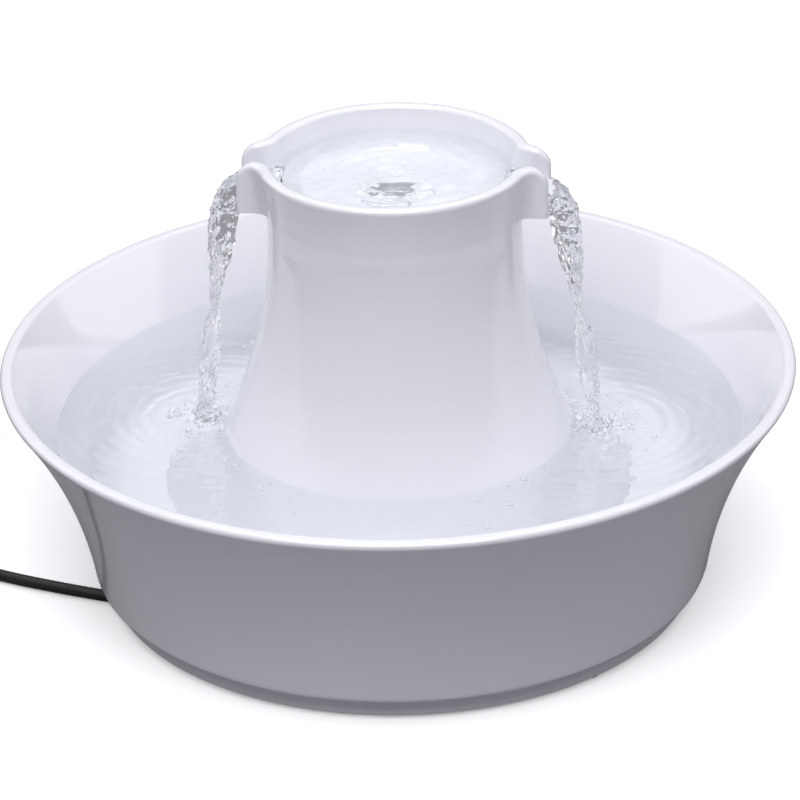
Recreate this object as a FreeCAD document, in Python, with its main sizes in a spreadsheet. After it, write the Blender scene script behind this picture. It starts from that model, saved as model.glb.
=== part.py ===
import FreeCAD, Part
import math
import os

import Sketcher

# A pet water fountain, in millimetres: +Z is up, the origin is under the middle of the bowl on the
# floor, the two spouts point along +X and -X, and the pump's intake faces -Y.

SIZES = {
    # the ceramic bowl
    "rim_radius": 137.5,
    "rim_height": 84.5,
    "bowl_wall": 4.6,
    "bowl_curve_radius": 175.4,
    "bowl_curve_drop": 17.7,
    "lip_rounding": 1.6,
    "bowl_skirt_height": 7.6,
    "bowl_skirt_rounding": 3,
    "floor_thickness": 6,
    "bowl_floor_rounding": 14,
    "recess_depth": 8.2,
    "foot_ring_radius": 102.9,
    "foot_ring_width": 8.5,
    "foot_gap": 0.8,
    "cord_notch_width": 9,
    "cord_notch_height": 6.2,
    # how far cutting tools overrun what they cut, and how deep joined pieces run into each other
    "overrun": 1,
    "overlap": 0.5,
    # the rubber pads in the foot ring
    "pad_radius": 3.1,
    "pad_pocket_depth": 2.2,
    "pad_clearance": 0.1,
    "pad_turn": 45,
    # the ceramic tower
    "tower_height": 145.2,
    "tower_wall": 5,
    "waist_radius": 43.6,
    "waist_drop": 26,
    "flare_radius": 172,
    "neck_flare_radius": 92,
    "flare_straight_from": 72,
    "rim_lip_rounding": 1.6,
    "dish_depth": 21.5,
    "dish_floor_thickness": 5,
    "dish_wall": 4.4,
    "dish_rounding": 12,
    "hollow_rounding": 8,
    "inlet_radius": 9,
    # the two spouts: how far they reach past the tower's rim, and their form
    "spout_reach": 5.65,
    "spout_width": 20.6,
    "spout_wall": 4,
    "spout_floor": 4,
    "spout_height": 18.2,
    "spout_corner_rounding": 7,
    "spout_blend": 6,
    "spout_inner_blend": 8,
    # the riser and its seal
    "riser_radius": 8,
    "riser_wall": 1.6,
    "riser_step": 1.5,
    "riser_foot_gap": 0.5,
    "seal_running_gap": 0.05,
    "seal_sleeve": 1.2,
    "seal_flange": 2.6,
    "seal_flange_thickness": 1.2,
    # the pump
    "cup_height": 3,
    "cup_radius": 5.5,
    "cup_stem_radius": 2,
    "cup_shoulder": 0.8,
    "cup_edge": 1.2,
    "cup_hollow": 1.2,
    "cup_inset": 1.5,
    "cup_socket_roof": 0.5,
    "pump_width": 42,
    "pump_height": 34,
    "pump_length": 41,
    "pump_wall": 2.5,
    "pump_rounding": 4,
    "pump_cover_thickness": 3,
    "pump_front": 6,
    "motor_front_wall": 3,
    "well_radius": 8,
    "well_wall": 1.4,
    "well_depth": 18,
    "core_leg": 6,
    "core_stack": 14,
    "core_gap": 0.9,
    "bobbin_wall": 1.1,
    "bobbin_flange": 1.2,
    "winding_thickness": 3,
    "winding_gap": 0.3,
    "part_gap": 0.2,
    "volute_radius": 15.5,
    "volute_wall": 2.2,
    "volute_depth": 10,
    "volute_front_wall": 3,
    "eye_radius": 6,
    "hub_radius": 2.4,
    "volute_hub_radius": 3.2,
    "spoke_width": 1.8,
    "spigot_depth": 2,
    "o_ring_thickness": 1.4,
    "nozzle_radius": 6,
    "nozzle_bore": 4.4,
    "nozzle_height": 9,
    "nozzle_gap": 0.1,
    "rotor_gap": 0.6,
    "magnet_length": 17,
    "wheel_gap": 0.5,
    "impeller_radius": 11,
    "impeller_disc": 1.4,
    "impeller_bore_gap": 0.05,
    "blade_width": 1.2,
    "shaft_radius": 1.25,
    "bush_radius": 2,
    "bush_length": 3,
    "intake_plate_thickness": 2.4,
    "intake_plate_width": 30,
    "intake_slot_width": 2.2,
    "intake_slot_pitch": 4.4,
    "slider_thickness": 1.6,
    "slider_width": 12,
    "slider_height": 8,
    "slider_gap": 0.3,
    "rail_height": 1.6,
    "rail_lip": 0.9,
    "gland_radius": 4,
    "gland_neck_radius": 2.8,
    "gland_lip": 0.7,
    "gland_length": 7,
    "gland_back": 9,
    "gland_height": 8,
    # the filters
    "tray_width": 56,
    "tray_height": 32,
    "tray_wall": 2,
    "tray_gap": 1.2,
    "foam_thickness": 9,
    "carbon_thickness": 8,
    "filter_height": 35,
    "filter_gap": 0.5,
    "filter_rim": 3,
    "filter_pad_thickness": 1.6,
    "filter_tab_width": 14,
    "filter_tab_height": 3,
    "filter_tab_thickness": 2,
    "foam_rounding": 2,
    "tray_slot_width": 3,
    "tray_slot_pitch": 7,
    "tray_back_lip": 0.4,
    "tray_back_opening": 2,
    "tray_window_inset": 4,
    "tray_slot_top": 5,
    # the cord, its plug, coil, tie and adaptor
    "cord_radius": 2.1,
    "cord_plug_boss_radius": 6.5,
    "cord_plug_stem_radius": 4.5,
    "cord_plug_boss_height": 9,
    "cord_plug_x": -45,
    "cord_plug_y": -44,
    "cord_plug_relief_radius": 3.2,
    "coil_x": -198,
    "coil_y": -9,
    "coil_turns": 10,
    "coil_middle_radius": 24.6,
    "coil_gap": 0.6,
    "tie_thickness": 0.9,
    "tie_width": 9,
    "tie_gap": 0.25,
    "tie_rounding": 2.5,
    "tie_inner_rounding": 1.8,
    "adaptor_x": -213,
    "adaptor_y": 87,
    "adaptor_length": 46,
    "adaptor_width": 52,
    "adaptor_height": 40,
    "adaptor_shell": 2.2,
    "adaptor_rounding": 5,
    "adaptor_back_thickness": 11,
    "blade_thickness": 1.5,
    "blade_height": 6.3,
    "blade_length": 17,
    "blade_pitch": 12.7,
    "blade_hole_radius": 1.6,
    "blade_root": 4,
    "blade_tip_rounding": 1.6,
    "blade_hole_inset": 4,
    "boot_length": 21,
    "boot_radius": 4.2,
    "boot_tip_radius": 2.9,
    "boot_height": 9,
    "boot_inset": 10,
    "boot_neck_radius": 3.2,
}

PADS = 4
CUPS = 4
BLADES = 6
INTAKE_SLOTS = 5
TRAY_SLOTS = 6
INLETS = 2
SPOKES = 3

doc = FreeCAD.newDocument("PetWaterFountain")
sheet = doc.addObject("Spreadsheet::Sheet", "Sizes")
for row, (word, number) in enumerate(SIZES.items(), start=1):
    sheet.set(f"A{row}", str(number))
    sheet.setAlias(f"A{row}", word)
doc.recompute()


class Size:
    """A length that knows its number and the sheet expression that gives it."""

    def __init__(self, number, text):
        self.number = float(number)
        self.text = text

    def __add__(self, other):
        other = size_of(other)
        return Size(self.number + other.number, f"({self.text} + {other.text})")

    def __sub__(self, other):
        other = size_of(other)
        return Size(self.number - other.number, f"({self.text} - {other.text})")

    def __mul__(self, other):
        other = size_of(other)
        return Size(self.number * other.number, f"({self.text} * {other.text})")

    def __truediv__(self, other):
        other = size_of(other)
        return Size(self.number / other.number, f"({self.text} / {other.text})")

    def __neg__(self):
        return Size(-self.number, f"(0 - {self.text})")

    def __rsub__(self, other):
        return size_of(other) - self

    __radd__ = __add__
    __rmul__ = __mul__


def size_of(value):
    """A plain number as a Size; a Size stays as it is."""
    return value if isinstance(value, Size) else Size(value, repr(value))


def root(value):
    return Size(math.sqrt(value.number), f"sqrt({value.text})")


def cell(word):
    """The Size that the sheet holds under this word."""
    return Size(getattr(sheet, word), f"Sizes.{word}")


def bind(thing, prop, value):
    """Ties a property to the sheet, or sets it where the value is a plain number."""
    thing.setExpression(prop, size_of(value).text)


def place(thing, x=0, y=0, z=0, axis=None, angle=0):
    """Puts an object at x, y, z, turned about an axis through that point."""
    if axis:
        thing.Placement = FreeCAD.Placement(FreeCAD.Vector(), FreeCAD.Rotation(FreeCAD.Vector(*axis), angle))
    for direction, value in zip("xyz", (x, y, z)):
        bind(thing, f".Placement.Base.{direction}", value)
    return thing


def block(name, x_from, x_to, y_from, y_to, z_from, z_to):
    """A box between two corners."""
    made = doc.addObject("Part::Box", name)
    bind(made, "Length", x_to - x_from)
    bind(made, "Width", y_to - y_from)
    bind(made, "Height", z_to - z_from)
    return place(made, x_from, y_from, z_from)


def upright(name, radius, x, y, z_from, z_to):
    """A cylinder along Z."""
    made = doc.addObject("Part::Cylinder", name)
    bind(made, "Radius", radius)
    bind(made, "Height", z_to - z_from)
    return place(made, x, y, z_from)


def lying(name, radius, x, z, y_from, y_to):
    """A cylinder along Y."""
    made = doc.addObject("Part::Cylinder", name)
    bind(made, "Radius", radius)
    bind(made, "Height", y_to - y_from)
    return place(made, x, y_from, z, (1, 0, 0), -90)


def crossing(name, radius, y, z, x_from, x_to):
    """A cylinder along X."""
    made = doc.addObject("Part::Cylinder", name)
    bind(made, "Radius", radius)
    bind(made, "Height", x_to - x_from)
    return place(made, x_from, y, z, (0, 1, 0), 90)


def cut(name, base, *tools):
    made = doc.addObject("Part::Cut", name)
    made.Base = base
    made.Tool = tools[0] if len(tools) == 1 else fuse(name + "_tools", *tools)
    return made


def fuse(name, *shapes):
    made = doc.addObject("Part::MultiFuse", name)
    made.Shapes = list(shapes)
    return made


def group(name, *shapes):
    """Separate solids in one object."""
    made = doc.addObject("Part::Compound", name)
    made.Links = list(shapes)
    return made


def rounded(name, base, radius, wanted):
    """Fillets the edges of base that the wanted function picks."""
    doc.recompute()
    made = doc.addObject("Part::Fillet", name)
    made.Base = base
    number = size_of(radius).number
    edges = enumerate(base.Shape.Edges, start=1)
    made.Edges = [(index, number, number) for index, edge in edges if wanted(edge)]
    return made


def runs_along(edge, axis):
    """True for a straight edge along the axis, 0, 1 or 2."""
    if edge.Curve.TypeId != "Part::GeomLine":
        return False
    direction = edge.Vertexes[-1].Point - edge.Vertexes[0].Point
    return abs(abs(direction[axis]) - direction.Length) < 1e-6


def middle_of(edge):
    return edge.valueAt((edge.FirstParameter + edge.LastParameter) / 2)


def part_feature(name, shape, placement=FreeCAD.Placement()):
    made = doc.addObject("Part::Feature", name)
    made.Shape = shape
    made.Placement = placement
    return made


def blend_centre(centre, distance, height):
    """The centre of a rounding: at this height and this far from a curve's centre, on the axis side."""
    rise = height - centre[1]
    return centre[0] - root(distance * distance - rise * rise), height


def touch(centre, blend, share):
    """The point where a rounding touches a curve, as a share of the way from centre to blend."""
    return centre[0] + (blend[0] - centre[0]) * share, centre[1] + (blend[1] - centre[1]) * share


def turned(name, outline):
    """A body turned about Z. Each corner is (radius, height), or (radius, height, bend) where an arc of
    that radius leads to the next corner: the outline runs anticlockwise with the axis at its left, a
    positive bend swells outwards, and a negative one is hollow."""
    body = doc.addObject("PartDesign::Body", name)
    plane = next(part for part in body.Origin.OriginFeatures if part.Role == "XZ_Plane")
    sketch = body.newObject("Sketcher::SketchObject", name + "_outline")
    sketch.AttachmentSupport = [(plane, "")]
    sketch.MapMode = "FlatFace"
    corners = [(size_of(c[0]), size_of(c[1]), size_of(c[2]) if len(c) > 2 else None) for c in outline]
    ends = []
    for index, (radius, height, bend) in enumerate(corners):
        after = corners[(index + 1) % len(corners)]
        start = FreeCAD.Vector(radius.number, height.number, 0)
        stop = FreeCAD.Vector(after[0].number, after[1].number, 0)
        if bend is None:
            sketch.addGeometry(Part.LineSegment(start, stop))
            ends.append((1, 2))
            continue
        chord = stop - start
        inward = FreeCAD.Vector(-chord.y, chord.x, 0).normalize() * (1 if bend.number > 0 else -1)
        reach = math.sqrt(max(bend.number ** 2 - chord.Length ** 2 / 4, 0))
        centre = (start + stop) * 0.5 + inward * reach
        first, last = (start, stop) if bend.number > 0 else (stop, start)
        angles = [math.atan2(p.y - centre.y, p.x - centre.x) for p in (first, last)]
        circle = Part.Circle(centre, FreeCAD.Vector(0, 0, 1), abs(bend.number))
        sketch.addGeometry(Part.ArcOfCircle(circle, *angles))
        ends.append((1, 2) if bend.number > 0 else (2, 1))
    for index, (radius, height, bend) in enumerate(corners):
        before = (index - 1) % len(corners)
        sketch.addConstraint(Sketcher.Constraint("Coincident", before, ends[before][1], index, ends[index][0]))
        for kind, value, line in (("DistanceX", radius, -2), ("DistanceY", height, -1)):
            if value.number == 0:
                sketch.addConstraint(Sketcher.Constraint("PointOnObject", index, ends[index][0], line))
                continue
            rule = sketch.addConstraint(Sketcher.Constraint(kind, -1, 1, index, ends[index][0], value.number))
            sketch.setExpression(f"Constraints[{rule}]", value.text)
        if bend is not None:
            rule = sketch.addConstraint(Sketcher.Constraint("Radius", index, abs(bend.number)))
            sketch.setExpression(f"Constraints[{rule}]", bend.text if bend.number > 0 else (-bend).text)
    turn = body.newObject("PartDesign::Revolution", name + "_turn")
    turn.Profile = sketch
    turn.ReferenceAxis = (sketch, ["V_Axis"])
    turn.Angle = 360
    body.Tip = turn
    return body


# Heights and radii that several pieces share.
foot_gap = cell("foot_gap")
recess_top = foot_gap + cell("recess_depth")
floor_top = recess_top + cell("floor_thickness")
rim_radius = cell("rim_radius")
rim_height = cell("rim_height")
foot_ring_radius = cell("foot_ring_radius")
foot_ring_inner = foot_ring_radius - cell("foot_ring_width")

tower_top = floor_top + cell("tower_height")
crown_foot = tower_top - cell("spout_height")
waist_height = tower_top - cell("waist_drop")
dish_floor = tower_top - cell("dish_depth")
dish_underside = dish_floor - cell("dish_floor_thickness")
riser_radius = cell("riser_radius")
seal_bore = riser_radius + cell("seal_running_gap")
seal_radius = seal_bore + cell("seal_sleeve")

pump_floor = floor_top + cell("cup_height")
pump_top = pump_floor + cell("pump_height")
axis_height = pump_floor + cell("pump_height") / 2
pump_front = cell("pump_front")
pump_back = pump_front + cell("pump_length")
half_pump = cell("pump_width") / 2
volute_front = pump_front - cell("volute_depth") - cell("volute_front_wall")
intake_back = volute_front
intake_front = intake_back - cell("intake_plate_thickness")
part_gap = cell("part_gap")

cord_radius = cell("cord_radius")
plug_x = cell("cord_plug_x")
plug_y = cell("cord_plug_y")
overrun = cell("overrun")
overlap = cell("overlap")
middle = size_of(0)


def make_bowl():
    curve = cell("bowl_curve_radius")
    inner_curve = curve + cell("bowl_wall")
    lip = cell("lip_rounding")
    skirt = cell("bowl_skirt_height")
    skirt_rounding = cell("bowl_skirt_rounding")
    floor_rounding = cell("bowl_floor_rounding")
    lip_height = rim_height - lip
    drop = cell("bowl_curve_drop")
    reach = curve + lip
    rise = lip_height + drop
    centre = (rim_radius - lip + root(reach * reach - rise * rise), -drop)
    skirt_centre = blend_centre(centre, curve + skirt_rounding, skirt + skirt_rounding)
    lip_centre = (rim_radius - lip, lip_height)
    inner_lip = blend_centre(centre, inner_curve - lip, lip_height)
    foot = blend_centre(centre, inner_curve + floor_rounding, floor_top + floor_rounding)
    outline = [
        (0, skirt),
        (skirt_centre[0], skirt, skirt_rounding),
        (*touch(centre, skirt_centre, curve / (curve + skirt_rounding)), -curve),
        (*touch(centre, lip_centre, curve / reach), lip),
        (lip_centre[0], rim_height),
        (inner_lip[0], rim_height, lip),
        (*touch(centre, inner_lip, inner_curve / (inner_curve - lip)), inner_curve),
        (*touch(centre, foot, inner_curve / (inner_curve + floor_rounding)), -floor_rounding),
        (foot[0], floor_top),
        (0, floor_top),
    ]
    foot_top = recess_top + cell("floor_thickness") / 2
    foot_disc = upright("bowl_foot", foot_ring_radius, middle, middle, foot_gap, foot_top)
    form = fuse("bowl_form", turned("bowl_wall_form", outline), foot_disc)
    below = foot_gap - overrun
    recess = upright("bowl_recess", foot_ring_inner, middle, middle, below, recess_top)
    pocket_radius = cell("pad_radius") + cell("pad_clearance")
    pocket_top = foot_gap + cell("pad_pocket_depth")
    pads = range(PADS)
    pockets = [upright(f"pad_pocket_{n}", pocket_radius, *pad_centre(n), below, pocket_top) for n in pads]
    stem = cell("cord_plug_stem_radius")
    hole = upright("cord_hole", stem, plug_x, plug_y, recess_top - overrun, floor_top + overrun)
    return cut("bowl", form, recess, *pockets, hole, cord_notch())


def pad_centre(number):
    """The x and y of one foot pad, in the middle of the foot ring."""
    ring_middle = (foot_ring_radius + foot_ring_inner) / 2
    turn = f"({cell('pad_turn').text} + {number * 360 / PADS})"
    angle = math.radians(cell("pad_turn").number + number * 360 / PADS)
    along = Size(math.cos(angle), f"cos({turn} * 1 deg)")
    across = Size(math.sin(angle), f"sin({turn} * 1 deg)")
    return ring_middle * along, ring_middle * across


# The points that the cord follows from its plug to the coil, and from the coil to the adaptor.
CORD_ROUTE = [
    (-59.5, -40.1, 5.2),
    (-77, -35.3, 2.6),
    (-99, -29.3, 2.1),
    (-122, -22.6, 2.1),
    (-143, -15.2, 2.1),
]


def cord_notch():
    """The arch through the foot ring that the cord lies in."""
    width = cell("cord_notch_width")
    inside, outside = FreeCAD.Vector(*CORD_ROUTE[1]), FreeCAD.Vector(*CORD_ROUTE[3])
    heading = math.degrees(math.atan2(outside.y - inside.y, outside.x - inside.x))
    made = doc.addObject("Part::Box", "cord_notch_box")
    bind(made, "Length", foot_ring_radius / 2)
    bind(made, "Width", width)
    bind(made, "Height", cell("cord_notch_height") + overrun)
    turn = FreeCAD.Rotation(FreeCAD.Vector(0, 0, 1), heading)
    corner = inside + turn.multVec(FreeCAD.Vector(0, -width.number / 2, 0))
    made.Placement = FreeCAD.Placement(corner, turn)
    bind(made, ".Placement.Base.z", foot_gap - overrun)
    return made


def make_pads():
    top = foot_gap + cell("pad_pocket_depth") - cell("pad_clearance")
    pads = [upright(f"pad_{n}", cell("pad_radius"), *pad_centre(n), middle, top) for n in range(PADS)]
    return group("foot_pads", *pads)


def neck_radius(height, curve):
    """The radius of a neck curve, the tower's outside or its dish, at a height above the waist."""
    rise = height - waist_height
    return cell("waist_radius") + cell("neck_flare_radius") - root(curve * curve - rise * rise)


spout_end = neck_radius(tower_top, cell("neck_flare_radius")) + cell("spout_reach")


def make_tower():
    flare = cell("flare_radius")
    waist = cell("waist_radius")
    neck = cell("neck_flare_radius")
    straight = cell("flare_straight_from")
    rise = root(flare * flare - straight * straight)
    flare_radius = waist + flare - rise
    flare_height = waist_height - straight
    foot_radius = flare_radius + (flare_height - floor_top) * straight / rise
    outer = turned(
        "tower_outside",
        [
            (0, floor_top),
            (foot_radius, floor_top),
            (flare_radius, flare_height, -flare),
            (waist, waist_height, -neck),
            (neck_radius(crown_foot, neck), crown_foot),
            (0, crown_foot),
        ],
    )
    water_way = dish_and_channels()
    hole = upright("riser_hole", seal_radius, middle, middle, dish_underside - overrun, dish_floor + overrun)
    lower = cut("tower_lower", outer, water_way, tower_hollow(), hole, *inlet_arches(foot_radius))
    whole = fuse("tower", lower, make_crown(water_way))
    whole.Refine = True
    return whole


def tower_hollow():
    """The room under the dish, a wall's thickness inside the tower's outside."""
    waist = cell("waist_radius")
    flare = cell("flare_radius")
    inner_flare = flare + cell("tower_wall")
    inner_straight = cell("flare_straight_from") * inner_flare / flare
    inner_rise = root(inner_flare * inner_flare - inner_straight * inner_straight)
    inner_radius = waist + flare - inner_rise
    inner_height = waist_height - inner_straight
    rounding = cell("hollow_rounding")
    bend = (waist + flare, waist_height)
    top = blend_centre(bend, inner_flare + rounding, dish_underside - rounding)
    below = floor_top - overrun
    return turned(
        "tower_hollow",
        [
            (0, below),
            (inner_radius + (inner_height - below) * inner_straight / inner_rise, below),
            (inner_radius, inner_height, -inner_flare),
            (*touch(bend, top, inner_flare / (inner_flare + rounding)), rounding),
            (top[0], dish_underside),
            (0, dish_underside),
        ],
    )


def spout_block(name, side, reach, half, z_from, z_to):
    """A box from inside the dish out to one spout's end, or past it."""
    start = cell("waist_radius") / 2
    ends = (start, reach) if side > 0 else (-reach, -start)
    return block(f"{name}_{'right' if side > 0 else 'left'}", *ends, -half, half, z_from, z_to)


def stands_beside(half):
    """Picks the upright edges where a spout's or channel's sides meet a round wall."""

    def wanted(edge):
        tall = edge.BoundBox.ZLength > cell("spout_height").number / 2
        point = middle_of(edge)
        inside = abs(point.x) < spout_end.number - 0.1
        return tall and inside and abs(abs(point.y) - half.number) < 0.05

    return wanted


def dish_and_channels():
    """The room that the water takes: the dish, and a channel out through each spout, softly joined."""
    neck = cell("neck_flare_radius")
    bend = (cell("waist_radius") + neck, waist_height)
    curve = neck + cell("dish_wall")
    rounding = cell("dish_rounding")
    foot = blend_centre(bend, curve + rounding, dish_floor + rounding)
    above = tower_top + overrun
    dish = turned(
        "tower_dish",
        [
            (0, dish_floor),
            (foot[0], dish_floor, rounding),
            (*touch(bend, foot, curve / (curve + rounding)), -curve),
            (neck_radius(above, curve), above),
            (0, above),
        ],
    )
    half = cell("spout_width") / 2 - cell("spout_wall")
    floor = crown_foot + cell("spout_floor")
    end = spout_end + overrun
    channels = [spout_block("channel", side, end, half, floor, above) for side in (1, -1)]
    room = fuse("water_way_sharp", dish, *channels)
    room.Refine = True
    return rounded("water_way", room, cell("spout_inner_blend"), stands_beside(half))


def make_crown(water_way):
    """The tower's rim with its two spouts: the wall sweeps out into them, and their ends round over."""
    neck = cell("neck_flare_radius")
    half = cell("spout_width") / 2
    reach = spout_end
    rounding = cell("spout_corner_rounding")
    ring = turned(
        "crown_ring",
        [
            (0, crown_foot),
            (neck_radius(crown_foot, neck), crown_foot, -neck),
            (neck_radius(tower_top, neck), tower_top),
            (0, tower_top),
        ],
    )
    spouts = [spout_block("spout", side, reach, half, crown_foot, tower_top) for side in (1, -1)]
    sharp = fuse("crown_sharp", ring, *spouts)
    sharp.Refine = True
    swept = rounded("crown_swept", sharp, cell("spout_blend"), stands_beside(half))
    corners = []
    wide = half + cell("spout_blend")
    for side in (1, -1):
        name = "right" if side > 0 else "left"
        start = reach - rounding
        ends = (start, reach + overrun) if side > 0 else (-reach - overrun, -start)
        box = block(f"corner_{name}", *ends, -wide, wide, tower_top - rounding, tower_top + overrun)
        axis = start if side > 0 else -start
        past = wide + overrun
        drum = lying(f"corner_drum_{name}", rounding, axis, tower_top - rounding, -past, past)
        corners.append(cut(f"spout_corner_{name}", box, drum))
    opened = cut("crown_open", swept, *corners, water_way)
    opened.Refine = True
    corner_x, corner_z = (reach - rounding).number, (tower_top - rounding).number

    def is_lip(edge):
        point = middle_of(edge)
        out = abs(point.x) - corner_x
        if edge.BoundBox.ZMin > tower_top.number - 0.01:
            return not runs_along(edge, 1)
        if runs_along(edge, 1) or out < 0.05:
            return False
        at_end = abs(point.x) > reach.number - 0.01
        return at_end or abs(math.hypot(out, point.z - corner_z) - rounding.number) < 0.02

    return rounded("tower_crown", opened, cell("rim_lip_rounding"), is_lip)


def inlet_arches(foot_radius):
    """The front and back arches in the tower's foot that let water in, half cylinders on the bowl floor."""
    arches = []
    for number in range(INLETS // 2):
        made = doc.addObject("Part::Cylinder", f"inlet_{number}")
        bind(made, "Radius", cell("inlet_radius"))
        bind(made, "Height", (foot_radius + cell("tower_wall")) * 2)
        heading = 90 + number * 360 / INLETS
        turn = FreeCAD.Rotation(FreeCAD.Vector(0, 0, 1), heading)
        lay = FreeCAD.Rotation(FreeCAD.Vector(0, 1, 0), 90)
        made.Placement = FreeCAD.Placement(FreeCAD.Vector(), turn.multiply(lay))
        start = -(foot_radius + cell("tower_wall"))
        bind(made, ".Placement.Base.x", start * math.cos(math.radians(heading)))
        bind(made, ".Placement.Base.y", start * math.sin(math.radians(heading)))
        bind(made, ".Placement.Base.z", floor_top - overlap)
        arches.append(made)
    return arches


def make_riser_seal():
    flange = cell("seal_flange_thickness")
    edge = seal_radius + cell("seal_flange")
    return turned(
        "riser_seal",
        [
            (seal_bore, dish_underside - flange),
            (edge, dish_underside - flange),
            (edge, dish_underside),
            (seal_radius, dish_underside),
            (seal_radius, dish_floor),
            (edge, dish_floor),
            (edge, dish_floor + flange),
            (seal_bore, dish_floor + flange),
        ],
    )


nozzle_top = axis_height + cell("volute_radius") + cell("nozzle_height")


def make_riser_tube():
    """The riser: a wide foot that slips over the nozzle, and the tube up to the dish."""
    foot = pump_top + cell("riser_foot_gap")
    bore = cell("nozzle_radius") + cell("nozzle_gap")
    step = nozzle_top + cell("riser_step")
    inner = riser_radius - cell("riser_wall")
    return turned(
        "riser_tube",
        [
            (bore, foot),
            (riser_radius, foot),
            (riser_radius, dish_floor + cell("seal_flange_thickness")),
            (inner, dish_floor + cell("seal_flange_thickness")),
            (inner, step),
            (bore, step),
        ],
    )


def make_pump_body():
    wall = cell("pump_wall")
    rounding = cell("pump_rounding")
    shell = block("pump_block", -half_pump, half_pump, pump_front, pump_back, pump_floor, pump_top)

    def is_long_edge(edge):
        return runs_along(edge, 1)

    soft = rounded("pump_block_rounded", shell, rounding, is_long_edge)
    front = pump_front + cell("motor_front_wall")
    chamber = block(
        "motor_chamber",
        -half_pump + wall,
        half_pump - wall,
        front,
        pump_back + overrun,
        pump_floor + wall,
        pump_top - wall,
    )
    well_back = pump_front + cell("well_depth")
    well_wall = cell("well_wall")
    skin = cell("well_radius") + well_wall
    well_skin = lying("well_skin", skin, 0, axis_height, pump_front, well_back + well_wall)
    well = lying("well", cell("well_radius"), 0, axis_height, pump_front - overrun, well_back)
    bush_back = well_back + cell("bush_length")
    skin = cell("bush_radius") + well_wall
    seat_skin = lying("seat_skin", skin, 0, axis_height, well_back, bush_back + well_wall)
    seat = lying("bush_seat", cell("bush_radius"), 0, axis_height, well_back - overrun, bush_back)
    groove = cell("volute_radius")
    land = groove - cell("volute_wall") - part_gap
    start = pump_front - overrun
    stop = pump_front + cell("spigot_depth")
    spigot_seat = cut(
        "spigot_seat",
        lying("spigot_seat_outer", groove, 0, axis_height, start, stop),
        lying("spigot_seat_inner", land, 0, axis_height, start - overrun, stop + overrun),
    )
    low = pump_floor - overrun
    roof = pump_floor + wall - cell("cup_socket_roof")
    stem = cell("cup_stem_radius")
    sockets = [upright(f"cup_socket_{n}", stem, *cup_centre(n), low, roof) for n in range(CUPS)]
    side = -half_pump
    neck = cell("gland_neck_radius")
    gland_hole = crossing("gland_hole", neck, gland_y, gland_z, side - overrun, side + wall + overrun)
    shelled = cut("pump_shelled", soft, chamber, gland_hole)
    welled = fuse("pump_welled", shelled, well_skin, seat_skin)
    return cut("pump_body", welled, well, seat, spigot_seat, *sockets)


def cup_centre(number):
    """The x and y of one suction cup."""
    inset = cell("cup_radius") + cell("cup_inset")
    x = half_pump - inset
    y = (pump_front + inset, pump_back - inset)[number // 2]
    return (x if number % 2 else -x), y


def make_suction_cups():
    """Four rubber cups: a stem pressed into the pump and a hollow skirt on the bowl floor."""
    cups = []
    stem = cell("cup_stem_radius")
    height = cell("cup_height")
    top = height + cell("pump_wall") - cell("cup_socket_roof")
    for number in range(CUPS):
        cup = turned(
            f"cup_{number}",
            [
                (0, cell("cup_hollow")),
                (cell("cup_radius") - cell("cup_edge"), 0),
                (cell("cup_radius"), 0),
                (stem + cell("cup_shoulder"), height),
                (stem, height),
                (stem, top),
                (0, top),
            ],
        )
        x, y = cup_centre(number)
        cups.append(place(cup, x, y, floor_top))
    return group("suction_cups", *cups)


def make_pump_cover():
    wall = cell("pump_wall") + part_gap
    thickness = cell("pump_cover_thickness")
    return block(
        "pump_back_cover",
        -half_pump + wall,
        half_pump - wall,
        pump_back - thickness,
        pump_back,
        pump_floor + wall,
        pump_top - wall,
    )


gland_y = pump_back - cell("gland_back")
gland_z = pump_floor + cell("gland_height")


def make_gland():
    """The rubber gland in the pump's left wall, tapered towards the lead."""
    neck = cell("gland_neck_radius")
    gland = turned(
        "pump_gland",
        [
            (0, -cell("pump_wall")),
            (neck, -cell("pump_wall")),
            (neck, 0),
            (cell("gland_radius"), 0),
            (cord_radius + cell("gland_lip"), cell("gland_length")),
            (0, cell("gland_length")),
        ],
    )
    gland.Placement = FreeCAD.Placement(FreeCAD.Vector(), FreeCAD.Rotation(FreeCAD.Vector(0, 1, 0), -90))
    return place(gland, -half_pump, gland_y, gland_z)


# The U core: where its legs stand, its bridge lies, and how far the bobbin grows from the bridge.
core_inside = cell("well_radius") + cell("well_wall") + cell("core_gap")
core_low = axis_height - cell("core_stack") / 2
core_high = core_low + cell("core_stack")
winding_room = part_gap * 2 + cell("bobbin_wall") + cell("winding_thickness")
bridge_back = pump_back - cell("pump_cover_thickness") - winding_room
bridge_front = bridge_back - cell("core_leg")
half_bobbin = core_inside - part_gap
bobbin_tube = part_gap + cell("bobbin_wall")
bobbin_edge = bobbin_tube + cell("winding_thickness")


def make_stator_core():
    side = core_inside + cell("core_leg")
    front = pump_front + cell("motor_front_wall") + part_gap
    whole = block("core_block", -side, side, front, bridge_back, core_low, core_high)
    low, high = core_low - overrun, core_high + overrun
    gap = block("core_gap_block", -core_inside, core_inside, front - overrun, bridge_front, low, high)
    return cut("stator_core", whole, gap)


def bridge_box(name, half, grow):
    """A box round the core's bridge, grown sideways."""
    low, high = core_low - grow, core_high + grow
    return block(name, -half, half, bridge_front - grow, bridge_back + grow, low, high)


def make_bobbin():
    tube_box = bridge_box("bobbin_tube", half_bobbin, bobbin_tube)
    ends = bridge_box("bobbin_ends", half_bobbin, bobbin_edge)
    between = bridge_box("bobbin_between", half_bobbin - cell("bobbin_flange"), bobbin_edge + overrun)
    solid = fuse("bobbin_solid", tube_box, cut("bobbin_flanges", ends, between))
    return cut("coil_bobbin", solid, bridge_box("bobbin_bore", half_bobbin + overrun, part_gap))


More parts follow.
